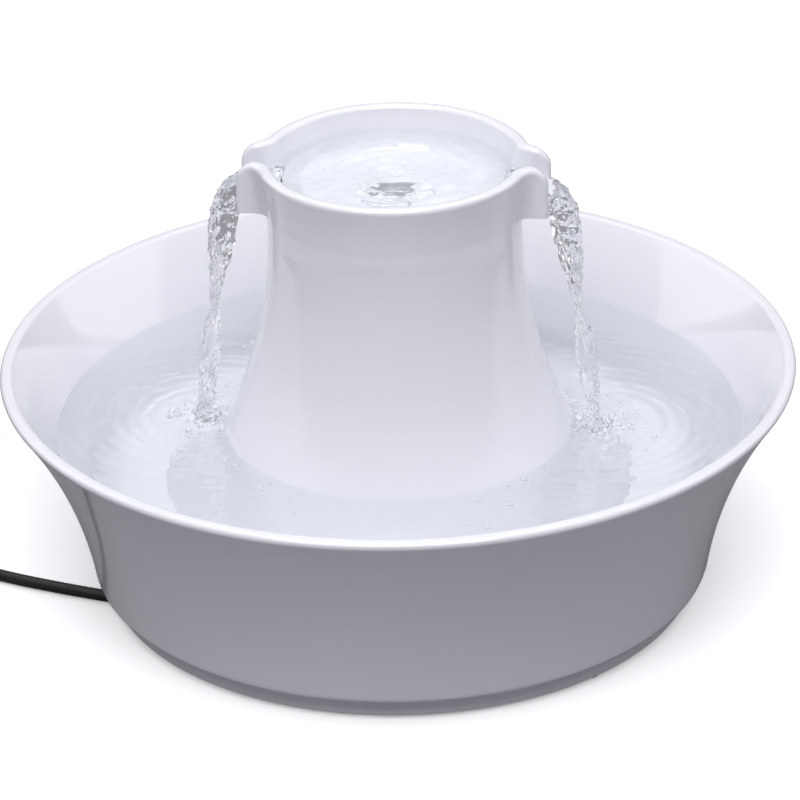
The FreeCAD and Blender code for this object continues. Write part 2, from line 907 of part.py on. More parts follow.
def make_windings():
    half = half_bobbin - cell("bobbin_flange")
    outside = bridge_box("winding_outside", half, bobbin_edge - cell("winding_gap"))
    return cut("coil_windings", outside, bridge_box("winding_inside", half + overrun, bobbin_tube))


def make_volute_cover():
    """The impeller's housing: round chamber, outlet nozzle, open eye with a bush hub on spokes."""
    outer = cell("volute_radius")
    chamber = outer - cell("volute_wall")
    back = pump_front
    drum = lying("volute_drum", outer, 0, axis_height, volute_front, back)
    spigot_back = back + cell("spigot_depth") - cell("o_ring_thickness")
    spigot = lying("volute_spigot", outer, 0, axis_height, back - overlap, spigot_back)
    nozzle = upright("nozzle", cell("nozzle_radius"), 0, 0, axis_height + chamber, nozzle_top)
    form = fuse("volute_form", drum, spigot, nozzle)
    hub_back = volute_front + cell("volute_front_wall")
    before, behind = volute_front - overrun, hub_back + overrun
    room = lying("volute_room", chamber, 0, axis_height, hub_back, spigot_back + overrun)
    bore = upright("nozzle_bore_cut", cell("nozzle_bore"), 0, 0, axis_height, nozzle_top + overrun)
    eye = lying("volute_eye", cell("eye_radius"), 0, axis_height, before, behind)
    open_form = cut("volute_open", form, room, bore, eye)
    hub = lying("volute_hub", cell("volute_hub_radius"), 0, axis_height, volute_front, hub_back)
    spokes = []
    half = cell("spoke_width") / 2
    length = cell("eye_radius") + overlap
    for number in range(SPOKES):
        spoke = block(f"spoke_{number}", -half, half, middle, hub_back - volute_front, middle, length)
        spoke.Placement = FreeCAD.Placement(
            FreeCAD.Vector(), FreeCAD.Rotation(FreeCAD.Vector(0, 1, 0), number * 360 / SPOKES)
        )
        angle = math.radians(number * 360 / SPOKES)
        bind(spoke, ".Placement.Base.x", half * -math.cos(angle))
        bind(spoke, ".Placement.Base.y", volute_front)
        bind(spoke, ".Placement.Base.z", axis_height + half * math.sin(angle))
        spokes.append(spoke)
    spider = fuse("volute_spider", open_form, hub, *spokes)
    seat = lying("hub_seat", cell("bush_radius"), 0, axis_height, before, behind)
    return cut("volute_cover", spider, seat)


def make_o_ring():
    outer = cell("volute_radius")
    inner = outer - cell("volute_wall")
    front = pump_front + cell("spigot_depth") - cell("o_ring_thickness")
    back = pump_front + cell("spigot_depth")
    ring = lying("o_ring_outer", outer, 0, axis_height, front, back)
    hole = lying("o_ring_inner", inner, 0, axis_height, front - overrun, back + overrun)
    return cut("volute_o_ring", ring, hole)


well_end = pump_front + cell("well_depth")


def make_shaft():
    """The fixed shaft, from inside the front bush to the far face of the back one."""
    stop = well_end + cell("bush_length")
    return lying("impeller_shaft", cell("shaft_radius"), 0, axis_height, volute_front + overlap, stop)


def make_bushes():
    bushes = []
    for name, front in (("front", volute_front), ("back", well_end)):
        back = front + cell("bush_length")
        start, stop = front - overrun, back + overrun
        outer = lying(f"{name}_bush_outer", cell("bush_radius"), 0, axis_height, front, back)
        bore = lying(f"{name}_bush_bore", cell("shaft_radius"), 0, axis_height, start, stop)
        bushes.append(cut(f"{name}_bush", outer, bore))
    return group("shaft_bushes", *bushes)


wheel_back = pump_front - cell("wheel_gap")
rotor_bore = cell("shaft_radius") + cell("impeller_bore_gap")


def make_magnet():
    radius = cell("well_radius") - cell("rotor_gap")
    back = wheel_back + cell("magnet_length")
    drum = lying("magnet_drum", radius, 0, axis_height, wheel_back, back)
    bore = lying("magnet_bore", rotor_bore, 0, axis_height, wheel_back - overrun, back + overrun)
    return cut("rotor_magnet", drum, bore)


def make_impeller():
    """The bladed wheel in front of the magnet."""
    disc_front = wheel_back - cell("impeller_disc")
    blade_front = volute_front + cell("volute_front_wall") + cell("wheel_gap") * 2
    disc = lying("impeller_disc_solid", cell("impeller_radius"), 0, axis_height, disc_front, wheel_back)
    hub = lying("impeller_hub", cell("hub_radius"), 0, axis_height, blade_front, wheel_back)
    blades = []
    half = cell("blade_width") / 2
    reach = cell("impeller_radius") - overlap
    for number in range(BLADES // 2):
        angle = math.radians(number * 360 / BLADES)
        blade = block(f"blade_{number}", -half, half, 0, disc_front + overlap - blade_front, -reach, reach)
        blade.Placement = FreeCAD.Placement(
            FreeCAD.Vector(), FreeCAD.Rotation(FreeCAD.Vector(0, 1, 0), number * 360 / BLADES)
        )
        bind(blade, ".Placement.Base.x", half * -math.cos(angle) + reach * -math.sin(angle))
        bind(blade, ".Placement.Base.y", blade_front)
        bind(blade, ".Placement.Base.z", axis_height + half * math.sin(angle) - reach * math.cos(angle))
        blades.append(blade)
    wheel = fuse("impeller_wheel", disc, hub, *blades)
    bore = lying("impeller_bore", rotor_bore, 0, axis_height, blade_front - overrun, wheel_back + overrun)
    return cut("impeller", wheel, bore)


slider_back = intake_front - cell("slider_gap")
slider_front = slider_back - cell("slider_thickness")
slider_foot = axis_height - cell("slider_height") / 2
slider_top = slider_foot + cell("slider_height")
rail_front = slider_front - cell("slider_gap") - cell("rail_lip")


def intake_rails():
    """The two rails that the slider runs in, each with a lip over the slider's edge."""
    reach = cell("slider_width") + overrun
    gap = cell("slider_gap")
    lip = cell("rail_lip")
    rails = []
    for name, near, far in (
        ("lower", slider_foot - gap, slider_foot - gap - cell("rail_height")),
        ("upper", slider_top + gap, slider_top + gap + cell("rail_height")),
    ):
        low, high = (far, near) if name == "lower" else (near, far)
        rails.append(block(f"{name}_rail", -reach, reach, rail_front, intake_front + overlap, low, high))
        lip_low, lip_high = (low, near + gap + lip) if name == "lower" else (near - gap - lip, high)
        lip_back = rail_front + lip
        rails.append(block(f"{name}_rail_lip", -reach, reach, rail_front, lip_back, lip_low, lip_high))
    return rails


def make_intake_plate():
    """The slotted plate over the eye, with rails for the slider."""
    half = cell("intake_plate_width") / 2
    low = axis_height - half
    plate = block("intake_block", -half, half, intake_front, intake_back, low, axis_height + half)
    slots = []
    for number in range(INTAKE_SLOTS):
        offset = cell("intake_slot_pitch") * (number - (INTAKE_SLOTS - 1) / 2)
        width = cell("intake_slot_width") / 2
        slots.append(
            block(
                f"intake_slot_{number}",
                offset - width,
                offset + width,
                intake_front - overrun,
                intake_back + overrun,
                axis_height - cell("eye_radius"),
                axis_height + cell("eye_radius"),
            )
        )
    return fuse("intake_plate", cut("intake_slotted", plate, *slots), *intake_rails())


def make_slider():
    """The flow slider: a small gate in front of the intake slots, with a thumb ridge."""
    width = cell("slider_width")
    ridge_room = cell("rail_lip") + cell("slider_gap")
    gate = block("slider_gate", -width, middle, slider_front, slider_back, slider_foot, slider_top)
    ridge = block(
        "slider_ridge",
        width * -0.6,
        width * -0.4,
        rail_front,
        slider_front + overlap,
        slider_foot + ridge_room,
        slider_top - ridge_room,
    )
    return fuse("flow_slider", gate, ridge)


tray_back = rail_front - cell("tray_gap")
foam_back = tray_back - cell("filter_gap")
foam_front = foam_back - cell("foam_thickness")
rib_back = foam_front - cell("filter_gap")
rib_front = rib_back - cell("tray_wall")
carbon_back = rib_front - cell("filter_gap")
carbon_front = carbon_back - cell("carbon_thickness")
tray_inside_front = carbon_front - cell("filter_gap")
tray_front = tray_inside_front - cell("tray_wall")
tray_floor = floor_top + cell("tray_wall")
filter_foot = tray_floor + cell("filter_gap")
filter_top = filter_foot + cell("filter_height")
half_tray = cell("tray_width") / 2
half_filter = half_tray - cell("tray_wall") - cell("filter_gap")


def make_tray():
    """The open-topped tray that guides both filters, slotted at the front and open at the back."""
    top = floor_top + cell("tray_height")
    wall = cell("tray_wall")
    inside = half_tray - wall
    form = block("tray_block", -half_tray, half_tray, tray_front, tray_back, floor_top, top)
    above = top + overrun
    inset = cell("tray_window_inset")
    opening = cell("tray_back_opening")
    lip_front = tray_back - cell("tray_back_lip")
    pocket = block("carbon_pocket", -inside, inside, tray_inside_front, rib_front, tray_floor, above)
    foam_pocket = block("foam_pocket", -inside, inside, rib_back, lip_front, tray_floor, above)
    half = inside - inset
    foot = tray_floor + inset
    window = block("rib_window", -half, half, rib_front - overrun, rib_back + overrun, foot, above)
    half = inside - opening
    foot = tray_floor + opening
    back_window = block("back_window", -half, half, lip_front - overrun, tray_back + overrun, foot, above)
    slots = []
    for number in range(TRAY_SLOTS):
        offset = cell("tray_slot_pitch") * (number - (TRAY_SLOTS - 1) / 2)
        width = cell("tray_slot_width") / 2
        slots.append(
            block(
                f"tray_slot_{number}",
                offset - width,
                offset + width,
                tray_front - overrun,
                tray_inside_front + overrun,
                tray_floor + inset,
                top - cell("tray_slot_top"),
            )
        )
    return cut("filter_tray", form, pocket, foam_pocket, window, back_window, *slots)


def make_foam():
    form = block("foam_block", -half_filter, half_filter, foam_front, foam_back, filter_foot, filter_top)
    return rounded("foam_filter", form, cell("foam_rounding"), lambda edge: runs_along(edge, 2))


def make_carbon_frame():
    """The filter's frame, with its pull tab."""
    rim = cell("filter_rim")
    side = half_filter
    form = block("carbon_block", -side, side, carbon_front, carbon_back, filter_foot, filter_top)
    window = block(
        "carbon_window",
        -half_filter + rim,
        half_filter - rim,
        carbon_front - overrun,
        carbon_back + overrun,
        filter_foot + rim,
        filter_top - rim,
    )
    half_tab = cell("filter_tab_width") / 2
    tab_front = (carbon_front + carbon_back - cell("filter_tab_thickness")) / 2
    tab_back = tab_front + cell("filter_tab_thickness")
    tab_top = filter_top + cell("filter_tab_height")
    tab = block("carbon_tab", -half_tab, half_tab, tab_front, tab_back, filter_top - overlap, tab_top)
    return fuse("carbon_frame", cut("carbon_open", form, window), tab)


def carbon_fill(name, y_from, y_to):
    rim = cell("filter_rim")
    side = half_filter - rim
    return block(name, -side, side, y_from, y_to, filter_foot + rim, filter_top - rim)


def make_granules():
    pad = cell("filter_pad_thickness")
    return carbon_fill("carbon_granules", carbon_front + pad, carbon_back - pad)


def make_filter_pads():
    pad = cell("filter_pad_thickness")
    front = carbon_fill("front_pad", carbon_front, carbon_front + pad)
    back = carbon_fill("back_pad", carbon_back - pad, carbon_back)
    return group("filter_pads", front, back)


def tube_path(points, radii_name):
    """Straight runs joined by tangent arcs, each as large as its two runs allow. Prints the radii."""
    spots = [FreeCAD.Vector(*point) for point in points]
    edges, radii, start = [], [], spots[0]
    for before, corner, after in zip(spots, spots[1:], spots[2:]):
        into = (corner - before).normalize()
        out = (after - corner).normalize()
        half = into.getAngle(out) / 2
        reach = 0.45 * min((corner - before).Length, (after - corner).Length)
        radii.append(reach / math.tan(half))
        first, last = corner - into * reach, corner + out * reach
        inward = (out - into).normalize()
        middle = corner + inward * (radii[-1] / math.cos(half) - radii[-1])
        edges.append(Part.LineSegment(start, first).toShape())
        edges.append(Part.Arc(first, middle, last).toShape())
        start = last
    edges.append(Part.LineSegment(start, spots[-1]).toShape())
    print(radii_name, "bend radii, mm:", [round(radius, 1) for radius in radii])
    return Part.Wire(edges)


def tube_along(path, radius):
    """A round tube along a wire, square to its start."""
    start = path.Edges[0].valueAt(path.Edges[0].FirstParameter)
    heading = path.Edges[0].tangentAt(path.Edges[0].FirstParameter)
    ring = Part.Wire([Part.Circle(start, heading, radius).toShape()])
    return path.makePipeShell([ring], True, False)


def make_tube(name, points):
    path = tube_path(points, name)
    tube = tube_along(path, cord_radius.number)
    expected = math.pi * cord_radius.number ** 2 * path.Length
    print(name, "length, mm:", round(path.Length, 1), "volume share:", round(tube.Volume / expected, 4))
    return part_feature(name, tube), path.Length


def make_cord_plug():
    """The rubber elbow: a boss on the bowl floor, a stem through the hole, a flat foot and a short relief."""
    boss_top = floor_top + cell("cord_plug_boss_height")
    boss = upright("plug_boss", cell("cord_plug_boss_radius"), plug_x, plug_y, floor_top, boss_top)
    low, high = recess_top - overrun, floor_top + overrun
    stem = upright("plug_stem", cell("cord_plug_stem_radius"), plug_x, plug_y, low, high)
    foot = upright("plug_foot", cell("cord_plug_boss_radius"), plug_x, plug_y, foot_gap + overrun, recess_top)
    doc.recompute()
    outlet = FreeCAD.Vector(*CORD_ROUTE[0])
    centre = FreeCAD.Vector(plug_x.number, plug_y.number, outlet.z)
    heading = (outlet - centre).normalize()
    length = (outlet - centre).Length
    relief = doc.addObject("Part::Cylinder", "plug_relief")
    bind(relief, "Radius", cell("cord_plug_relief_radius"))
    relief.Height = length
    relief.Placement = FreeCAD.Placement(centre, FreeCAD.Rotation(FreeCAD.Vector(0, 0, 1), heading))
    return fuse("cord_plug", boss, stem, foot, relief)


LEAD_ROUTE = [
    (-27.5, 38, 26),
    (-38, 36.5, 23.5),
    (-49, 30, 20),
    (-57.5, 17.5, 18),
    (-61.5, 2, 17.6),
    (-60.5, -14.5, 18),
    (-55.5, -29, 19.3),
    (-48, -40.5, 19.5),
]

COIL_START = math.radians(22)
TIE_TURN = 200
COIL_LEAD = 9
BOOT_LEAD = 8
BOOT_DIP = 0.2
TURN_TO_COIL = [(-152.5, -9.6, 2.4)]
TURN_TO_ADAPTOR = [(-172.3, 22.2, 8.3)]


def coil_spot(turns_done):
    """A point of the coil and its heading, after a number of turns. It spirals in through the lower
    layer, climbs in the half turn at the middle, and spirals out through the upper layer."""
    turns = sheet.coil_turns
    pitch = 2 * sheet.cord_radius + sheet.coil_gap
    layer_turns = (turns - 0.5) / 2
    inner = sheet.coil_middle_radius - pitch * (layer_turns - 0.5) / 2
    low = sheet.cord_radius + sheet.tie_thickness + sheet.tie_gap
    if turns_done <= layer_turns:
        radius = inner + pitch * (layer_turns - turns_done)
        slope, height, climb = -pitch, low, 0
    elif turns_done >= layer_turns + 0.5:
        radius = inner + pitch * (turns_done - layer_turns - 0.5)
        slope, height, climb = pitch, low + pitch, 0
    else:
        share = (turns_done - layer_turns) / 0.5
        radius = inner - pitch * 0.5 * share * (1 - share)
        slope = -pitch * (1 - 2 * share)
        height = low + pitch * (3 * share ** 2 - 2 * share ** 3)
        climb = pitch * 6 * share * (1 - share) / 0.5
    angle = COIL_START + 2 * math.pi * turns_done
    across = FreeCAD.Vector(math.cos(angle), math.sin(angle), 0)
    along = FreeCAD.Vector(-math.sin(angle), math.cos(angle), 0)
    spot = FreeCAD.Vector(sheet.coil_x, sheet.coil_y, height) + across * radius
    heading = across * slope + along * (2 * math.pi * radius) + FreeCAD.Vector(0, 0, climb)
    return spot, heading.normalize()


def biarc(start, start_heading, stop, stop_heading):
    """Two arcs that meet smoothly, from one point and heading to another."""
    chord = stop - start
    total = start_heading + stop_heading
    lean = total.dot(total) - 4
    if abs(lean) < 1e-12:
        reach = chord.dot(chord) / (4 * chord.dot(stop_heading))
    else:
        reach = (chord.dot(total) - math.sqrt(chord.dot(total) ** 2 - lean * chord.dot(chord))) / lean
    one = start + start_heading * reach
    two = stop - stop_heading * reach
    middle = (one + two) * 0.5
    return [arc_between(start, start_heading, middle), arc_between(middle, (two - one).normalize(), stop)]


def arc_between(start, heading, stop):
    """The arc that leaves start along heading and ends at stop."""
    chord = stop - start
    outward = heading.cross(chord).cross(heading).normalize()
    radius = chord.dot(chord) / (2 * chord.dot(outward))
    centre = start + outward * radius
    towards = (start + stop) * 0.5 - centre
    return Part.Arc(start, centre + towards.normalize() * radius, stop).toShape()


def make_coil():
    """The put-away length of the cord, wound as one unbroken tube."""
    steps = int(round(sheet.coil_turns * 4))
    spots = [coil_spot(number / 4) for number in range(steps + 1)]
    edges = []
    for (start, start_heading), (stop, stop_heading) in zip(spots, spots[1:]):
        edges += biarc(start, start_heading, stop, stop_heading)
    path = Part.Wire(edges)
    tube = tube_along(path, cord_radius.number)
    steps_per_turn = 72
    points = [coil_spot(n / steps_per_turn)[0] for n in range(int(sheet.coil_turns * steps_per_turn) + 1)]
    apart = steps_per_turn // 2
    least = min(
        (points[one] - points[two]).Length
        for one in range(0, len(points), 3)
        for two in range(one + apart, len(points))
    )
    gap = least - 2 * cord_radius.number
    print("coil length, mm:", round(path.Length, 1), "least gap to itself, mm:", round(gap, 2))
    return part_feature("cord_coil", tube), path.Length


def make_tie():
    """A flat tie round both layers of the coil, on its side away from the cord's ends."""
    pitch = 2 * sheet.cord_radius + sheet.coil_gap
    layer_turns = (sheet.coil_turns - 0.5) / 2
    inner = sheet.coil_middle_radius - pitch * (layer_turns - 0.5) / 2 - sheet.cord_radius
    outer = inner + pitch * layer_turns + 2 * sheet.cord_radius
    thickness, gap = sheet.tie_thickness, sheet.tie_gap
    height = 2 * sheet.cord_radius + pitch + 2 * (thickness + gap)
    outside = Part.makeBox(outer - inner + 2 * (thickness + gap), sheet.tie_width, height)
    past = sheet.overrun
    inside = Part.makeBox(outer - inner + 2 * gap, sheet.tie_width + 2 * past, height - 2 * thickness)
    inside.translate(FreeCAD.Vector(thickness, -past, thickness))
    edges = [edge for edge in outside.Edges if runs_along(edge, 1)]
    outside = outside.makeFillet(sheet.tie_rounding, edges)
    edges = [edge for edge in inside.Edges if runs_along(edge, 1)]
    inside = inside.makeFillet(sheet.tie_inner_rounding, edges)
    band = outside.cut(inside)
    turn = FreeCAD.Rotation(FreeCAD.Vector(0, 0, 1), TIE_TURN)
    corner = turn.multVec(FreeCAD.Vector(inner - gap - thickness, -sheet.tie_width / 2, 0))
    coil_middle = FreeCAD.Vector(sheet.coil_x, sheet.coil_y, 0)
    return part_feature("cord_tie", band, FreeCAD.Placement(corner + coil_middle, turn))


def adaptor_box(name, grow, x_from, x_to):
    """A box of the adaptor's outline, shrunk all round by grow."""
    half = cell("adaptor_width") / 2
    return block(
        name,
        cell("adaptor_x") + x_from,
        cell("adaptor_x") + x_to,
        cell("adaptor_y") - half + grow,
        cell("adaptor_y") + half - grow,
        middle + grow,
        cell("adaptor_height") - grow,
    )


boot_x = cell("adaptor_x") + cell("adaptor_length") - cell("boot_inset")
boot_root = cell("adaptor_y") - cell("adaptor_width") / 2


def make_adaptor():
    """The wall adaptor lies on its side: the blades point to -X and the cord leaves towards -Y."""
    length = cell("adaptor_length")
    seam = cell("adaptor_back_thickness")
    shell = cell("adaptor_shell")
    rounding = cell("adaptor_rounding")
    front = adaptor_box("adaptor_front_block", middle, seam, length)

    def is_front_edge(edge):
        far = middle_of(edge).x > (cell("adaptor_x") + length).number - 0.01
        return runs_along(edge, 0) or far

    front_soft = rounded("adaptor_front_soft", front, rounding, is_front_edge)
    room = adaptor_box("adaptor_room", shell, seam - overrun, length - shell)
    neck = cell("boot_neck_radius")
    outside, inside = boot_root - overrun, boot_root + shell + overrun
    boot_hole = lying("adaptor_boot_hole", neck, boot_x, cell("boot_height"), outside, inside)
    body = cut("adaptor_body", front_soft, room, boot_hole)
    back = adaptor_box("adaptor_back_block", middle, middle, seam)
    back_soft = rounded("adaptor_back_soft", back, rounding, lambda edge: runs_along(edge, 0))
    back_room = adaptor_box("adaptor_back_room", shell, shell * 1.5, seam + overrun)
    slots = [blade_block(f"blade_slot_{side}", side) for side in (1, -1)]
    cover = cut("adaptor_back", back_soft, back_room, *slots)
    return body, cover


def blade_block(name, side):
    """The straight part of one blade, through the back shell."""
    centre = cell("adaptor_y") + cell("blade_pitch") * (side / 2)
    half = cell("blade_thickness") / 2
    height = cell("adaptor_height") / 2
    return block(
        name,
        cell("adaptor_x") - cell("blade_length"),
        cell("adaptor_x") + cell("adaptor_shell") * 1.5 + cell("blade_root"),
        centre - half,
        centre + half,
        height - cell("blade_height") / 2,
        height + cell("blade_height") / 2,
    )


def make_blades():
    blades = []
    for side in (1, -1):
        plain = blade_block(f"blade_plain_{side}", side)
        tip = (cell("adaptor_x") - cell("blade_length")).number

        def is_tip(edge):
            return runs_along(edge, 1) and middle_of(edge).x < tip + 0.01

        soft = rounded(f"blade_soft_{side}", plain, cell("blade_tip_rounding"), is_tip)
        centre = cell("adaptor_y") + cell("blade_pitch") * (side / 2)
        past = cell("blade_thickness") / 2 + overrun
        hole_x = cell("adaptor_x") - cell("blade_length") + cell("blade_hole_inset")
        height = cell("adaptor_height") / 2
        bore = cell("blade_hole_radius")
        hole = lying(f"blade_hole_{side}", bore, hole_x, height, centre - past, centre + past)
        blades.append(cut(f"blade_{'right' if side > 0 else 'left'}", soft, hole))
    return group("plug_blades", *blades)


def make_boot():
    """The tapered strain relief on the adaptor."""
    boot = turned(
        "adaptor_boot",
        [
            (0, -cell("adaptor_shell")),
            (cell("boot_neck_radius"), -cell("adaptor_shell")),
            (cell("boot_neck_radius"), 0),
            (cell("boot_radius"), 0),
            (cell("boot_tip_radius"), cell("boot_length")),
            (0, cell("boot_length")),
        ],
    )
    boot.Placement = FreeCAD.Placement(FreeCAD.Vector(), FreeCAD.Rotation(FreeCAD.Vector(1, 0, 0), 90))
    return place(boot, boot_x, boot_root, cell("boot_height"))


def cord_to_coil():
    """The cord's route with its last points carried on to the coil's start, square to the coil."""
    spot, heading = coil_spot(0)
    return [*CORD_ROUTE, *TURN_TO_COIL, tuple(spot - heading * COIL_LEAD), tuple(spot)]


def cord_from_coil():
    """The route from the coil's end to the adaptor's boot."""
    spot, heading = coil_spot(sheet.coil_turns)
    side = sheet.adaptor_x + sheet.adaptor_length - sheet.boot_inset
    end = sheet.adaptor_y - sheet.adaptor_width / 2 - sheet.boot_length
    finish = [(side, end - BOOT_LEAD, sheet.boot_height - BOOT_DIP), (side, end, sheet.boot_height)]
    return [tuple(spot), tuple(spot + heading * COIL_LEAD), *TURN_TO_ADAPTOR, *finish]


nodes = [
    make_bowl(),
    make_pads(),
    make_tower(),
    make_riser_seal(),
    make_riser_tube(),
    make_pump_body(),
    make_suction_cups(),
    make_pump_cover(),
    make_gland(),
    make_stator_core(),
    make_bobbin(),
    make_windings(),
    make_volute_cover(),
    make_o_ring(),
    make_shaft(),
    make_bushes(),
    make_magnet(),
    make_impeller(),
    make_intake_plate(),
    make_slider(),
    make_tray(),
    make_foam(),
    make_carbon_frame(),
    make_granules(),
    make_filter_pads(),
    make_cord_plug(),
    make_tube("pump_lead", LEAD_ROUTE)[0],
    *make_adaptor(),
    make_blades(),
    make_boot(),
]
route_node, route_length = make_tube("power_cord", cord_to_coil())
coil_node, coil_length = make_coil()
tail_node, tail_length = make_tube("cord_tail", cord_from_coil())
nodes += [route_node, coil_node, tail_node, make_tie()]
print("whole free cord, mm:", round(route_length + coil_length + tail_length, 1))

doc.recompute()
for thing in doc.Objects:
    if "Invalid" in thing.State or "Error" in thing.State:
        raise RuntimeError(f"{thing.Name} failed: {thing.State}")

os.makedirs("parts", exist_ok=True)
for node in nodes:
    node.Label = node.Name
    if node.Shape.isNull() or not node.Shape.isValid() or not node.Shape.Solids:
        raise RuntimeError(f"{node.Name} is empty or not valid")
    node.Shape.exportStep(f"parts/{node.Label}.step")
    box = node.Shape.optimalBoundingBox()
    print(
        f"{node.Label}: {len(node.Shape.Solids)} solids, {node.Shape.Volume / 1000:.2f} cm3,",
        [round(edge, 1) for edge in (box.XMin, box.XMax, box.YMin, box.YMax, box.ZMin, box.ZMax)],
    )
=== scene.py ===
import math
import random

import bmesh
import bpy
from mathutils import Matrix, Vector, noise


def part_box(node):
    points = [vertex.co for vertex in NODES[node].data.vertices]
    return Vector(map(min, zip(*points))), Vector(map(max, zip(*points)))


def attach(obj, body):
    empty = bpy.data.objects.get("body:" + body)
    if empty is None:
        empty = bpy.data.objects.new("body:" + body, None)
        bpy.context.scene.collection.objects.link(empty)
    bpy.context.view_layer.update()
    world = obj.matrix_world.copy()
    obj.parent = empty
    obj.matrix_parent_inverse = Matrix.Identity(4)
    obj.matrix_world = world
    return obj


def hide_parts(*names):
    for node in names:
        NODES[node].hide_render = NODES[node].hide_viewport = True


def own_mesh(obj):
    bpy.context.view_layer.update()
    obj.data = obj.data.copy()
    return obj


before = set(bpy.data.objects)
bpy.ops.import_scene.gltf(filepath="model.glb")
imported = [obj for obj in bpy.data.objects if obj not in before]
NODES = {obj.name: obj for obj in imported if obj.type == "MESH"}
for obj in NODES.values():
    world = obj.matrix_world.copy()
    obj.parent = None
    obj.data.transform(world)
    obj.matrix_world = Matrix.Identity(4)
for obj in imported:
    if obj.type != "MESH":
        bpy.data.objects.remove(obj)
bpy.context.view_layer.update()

MM = 0.001

# Heights that come from the frame, in metres.
BOWL_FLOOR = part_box("tower")[0][2]
TOWER_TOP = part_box("tower")[1][2]

# The bowl's inner wall and the dish's wall, as the solids have them: each is an arc round a centre
# that is given as its distance from the axis and its height.
WALL_CURVE = 180.0 * MM
WALL_CENTRE = (281.53 * MM, -17.7 * MM)
FLOOR_ROUNDING = 14 * MM
DISH_CURVE = 96.4 * MM
DISH_CENTRE = (135.6 * MM, TOWER_TOP - 26 * MM)
DISH_FLOOR = TOWER_TOP - 21.5 * MM
DISH_ROUNDING = 12 * MM
CORD_DIAMETER = 4.2 * MM

# Water levels and the places where the streams land.
BOWL_WATER = 59.7 * MM
DISH_WATER = TOWER_TOP - 7.2 * MM
LANDING_RADIUS = 67.5 * MM

# How far the water's mesh reaches into the glaze round it.
SUNK = 0.4 * MM

# The angle between two faces from which the edge between them is drawn sharp.
SHARP_FROM = math.radians(38)

# The camera, as fitted to the photograph.
CAMERA_DISTANCE = 1.4112
CAMERA_HEIGHT = 0.7769
CAMERA_TURN = math.radians(5.48)
CAMERA_TILT = math.radians(26.70)
CAMERA_ROLL = math.radians(-1.21)
CAMERA_LENS = 204.35
SENSOR_WIDTH = 36
NEAREST_SEEN = 0.05
CAMERA_SIDE = math.radians(5.5)


def make_camera():
    data = bpy.data.cameras.new("photo_camera")
    data.lens = CAMERA_LENS
    data.sensor_width = SENSOR_WIDTH
    data.clip_start = NEAREST_SEEN
    camera = bpy.data.objects.new("photo_camera", data)
    bpy.context.scene.collection.objects.link(camera)
    place = Vector((math.sin(CAMERA_SIDE), -math.cos(CAMERA_SIDE), 0)) * CAMERA_DISTANCE
    place.z = CAMERA_HEIGHT
    turn = Matrix.Rotation(CAMERA_TURN, 4, "Z") @ Matrix.Rotation(math.pi / 2 - CAMERA_TILT, 4, "X")
    camera.matrix_world = Matrix.Translation(place) @ turn @ Matrix.Rotation(CAMERA_ROLL, 4, "Z")
    bpy.context.scene.camera = camera


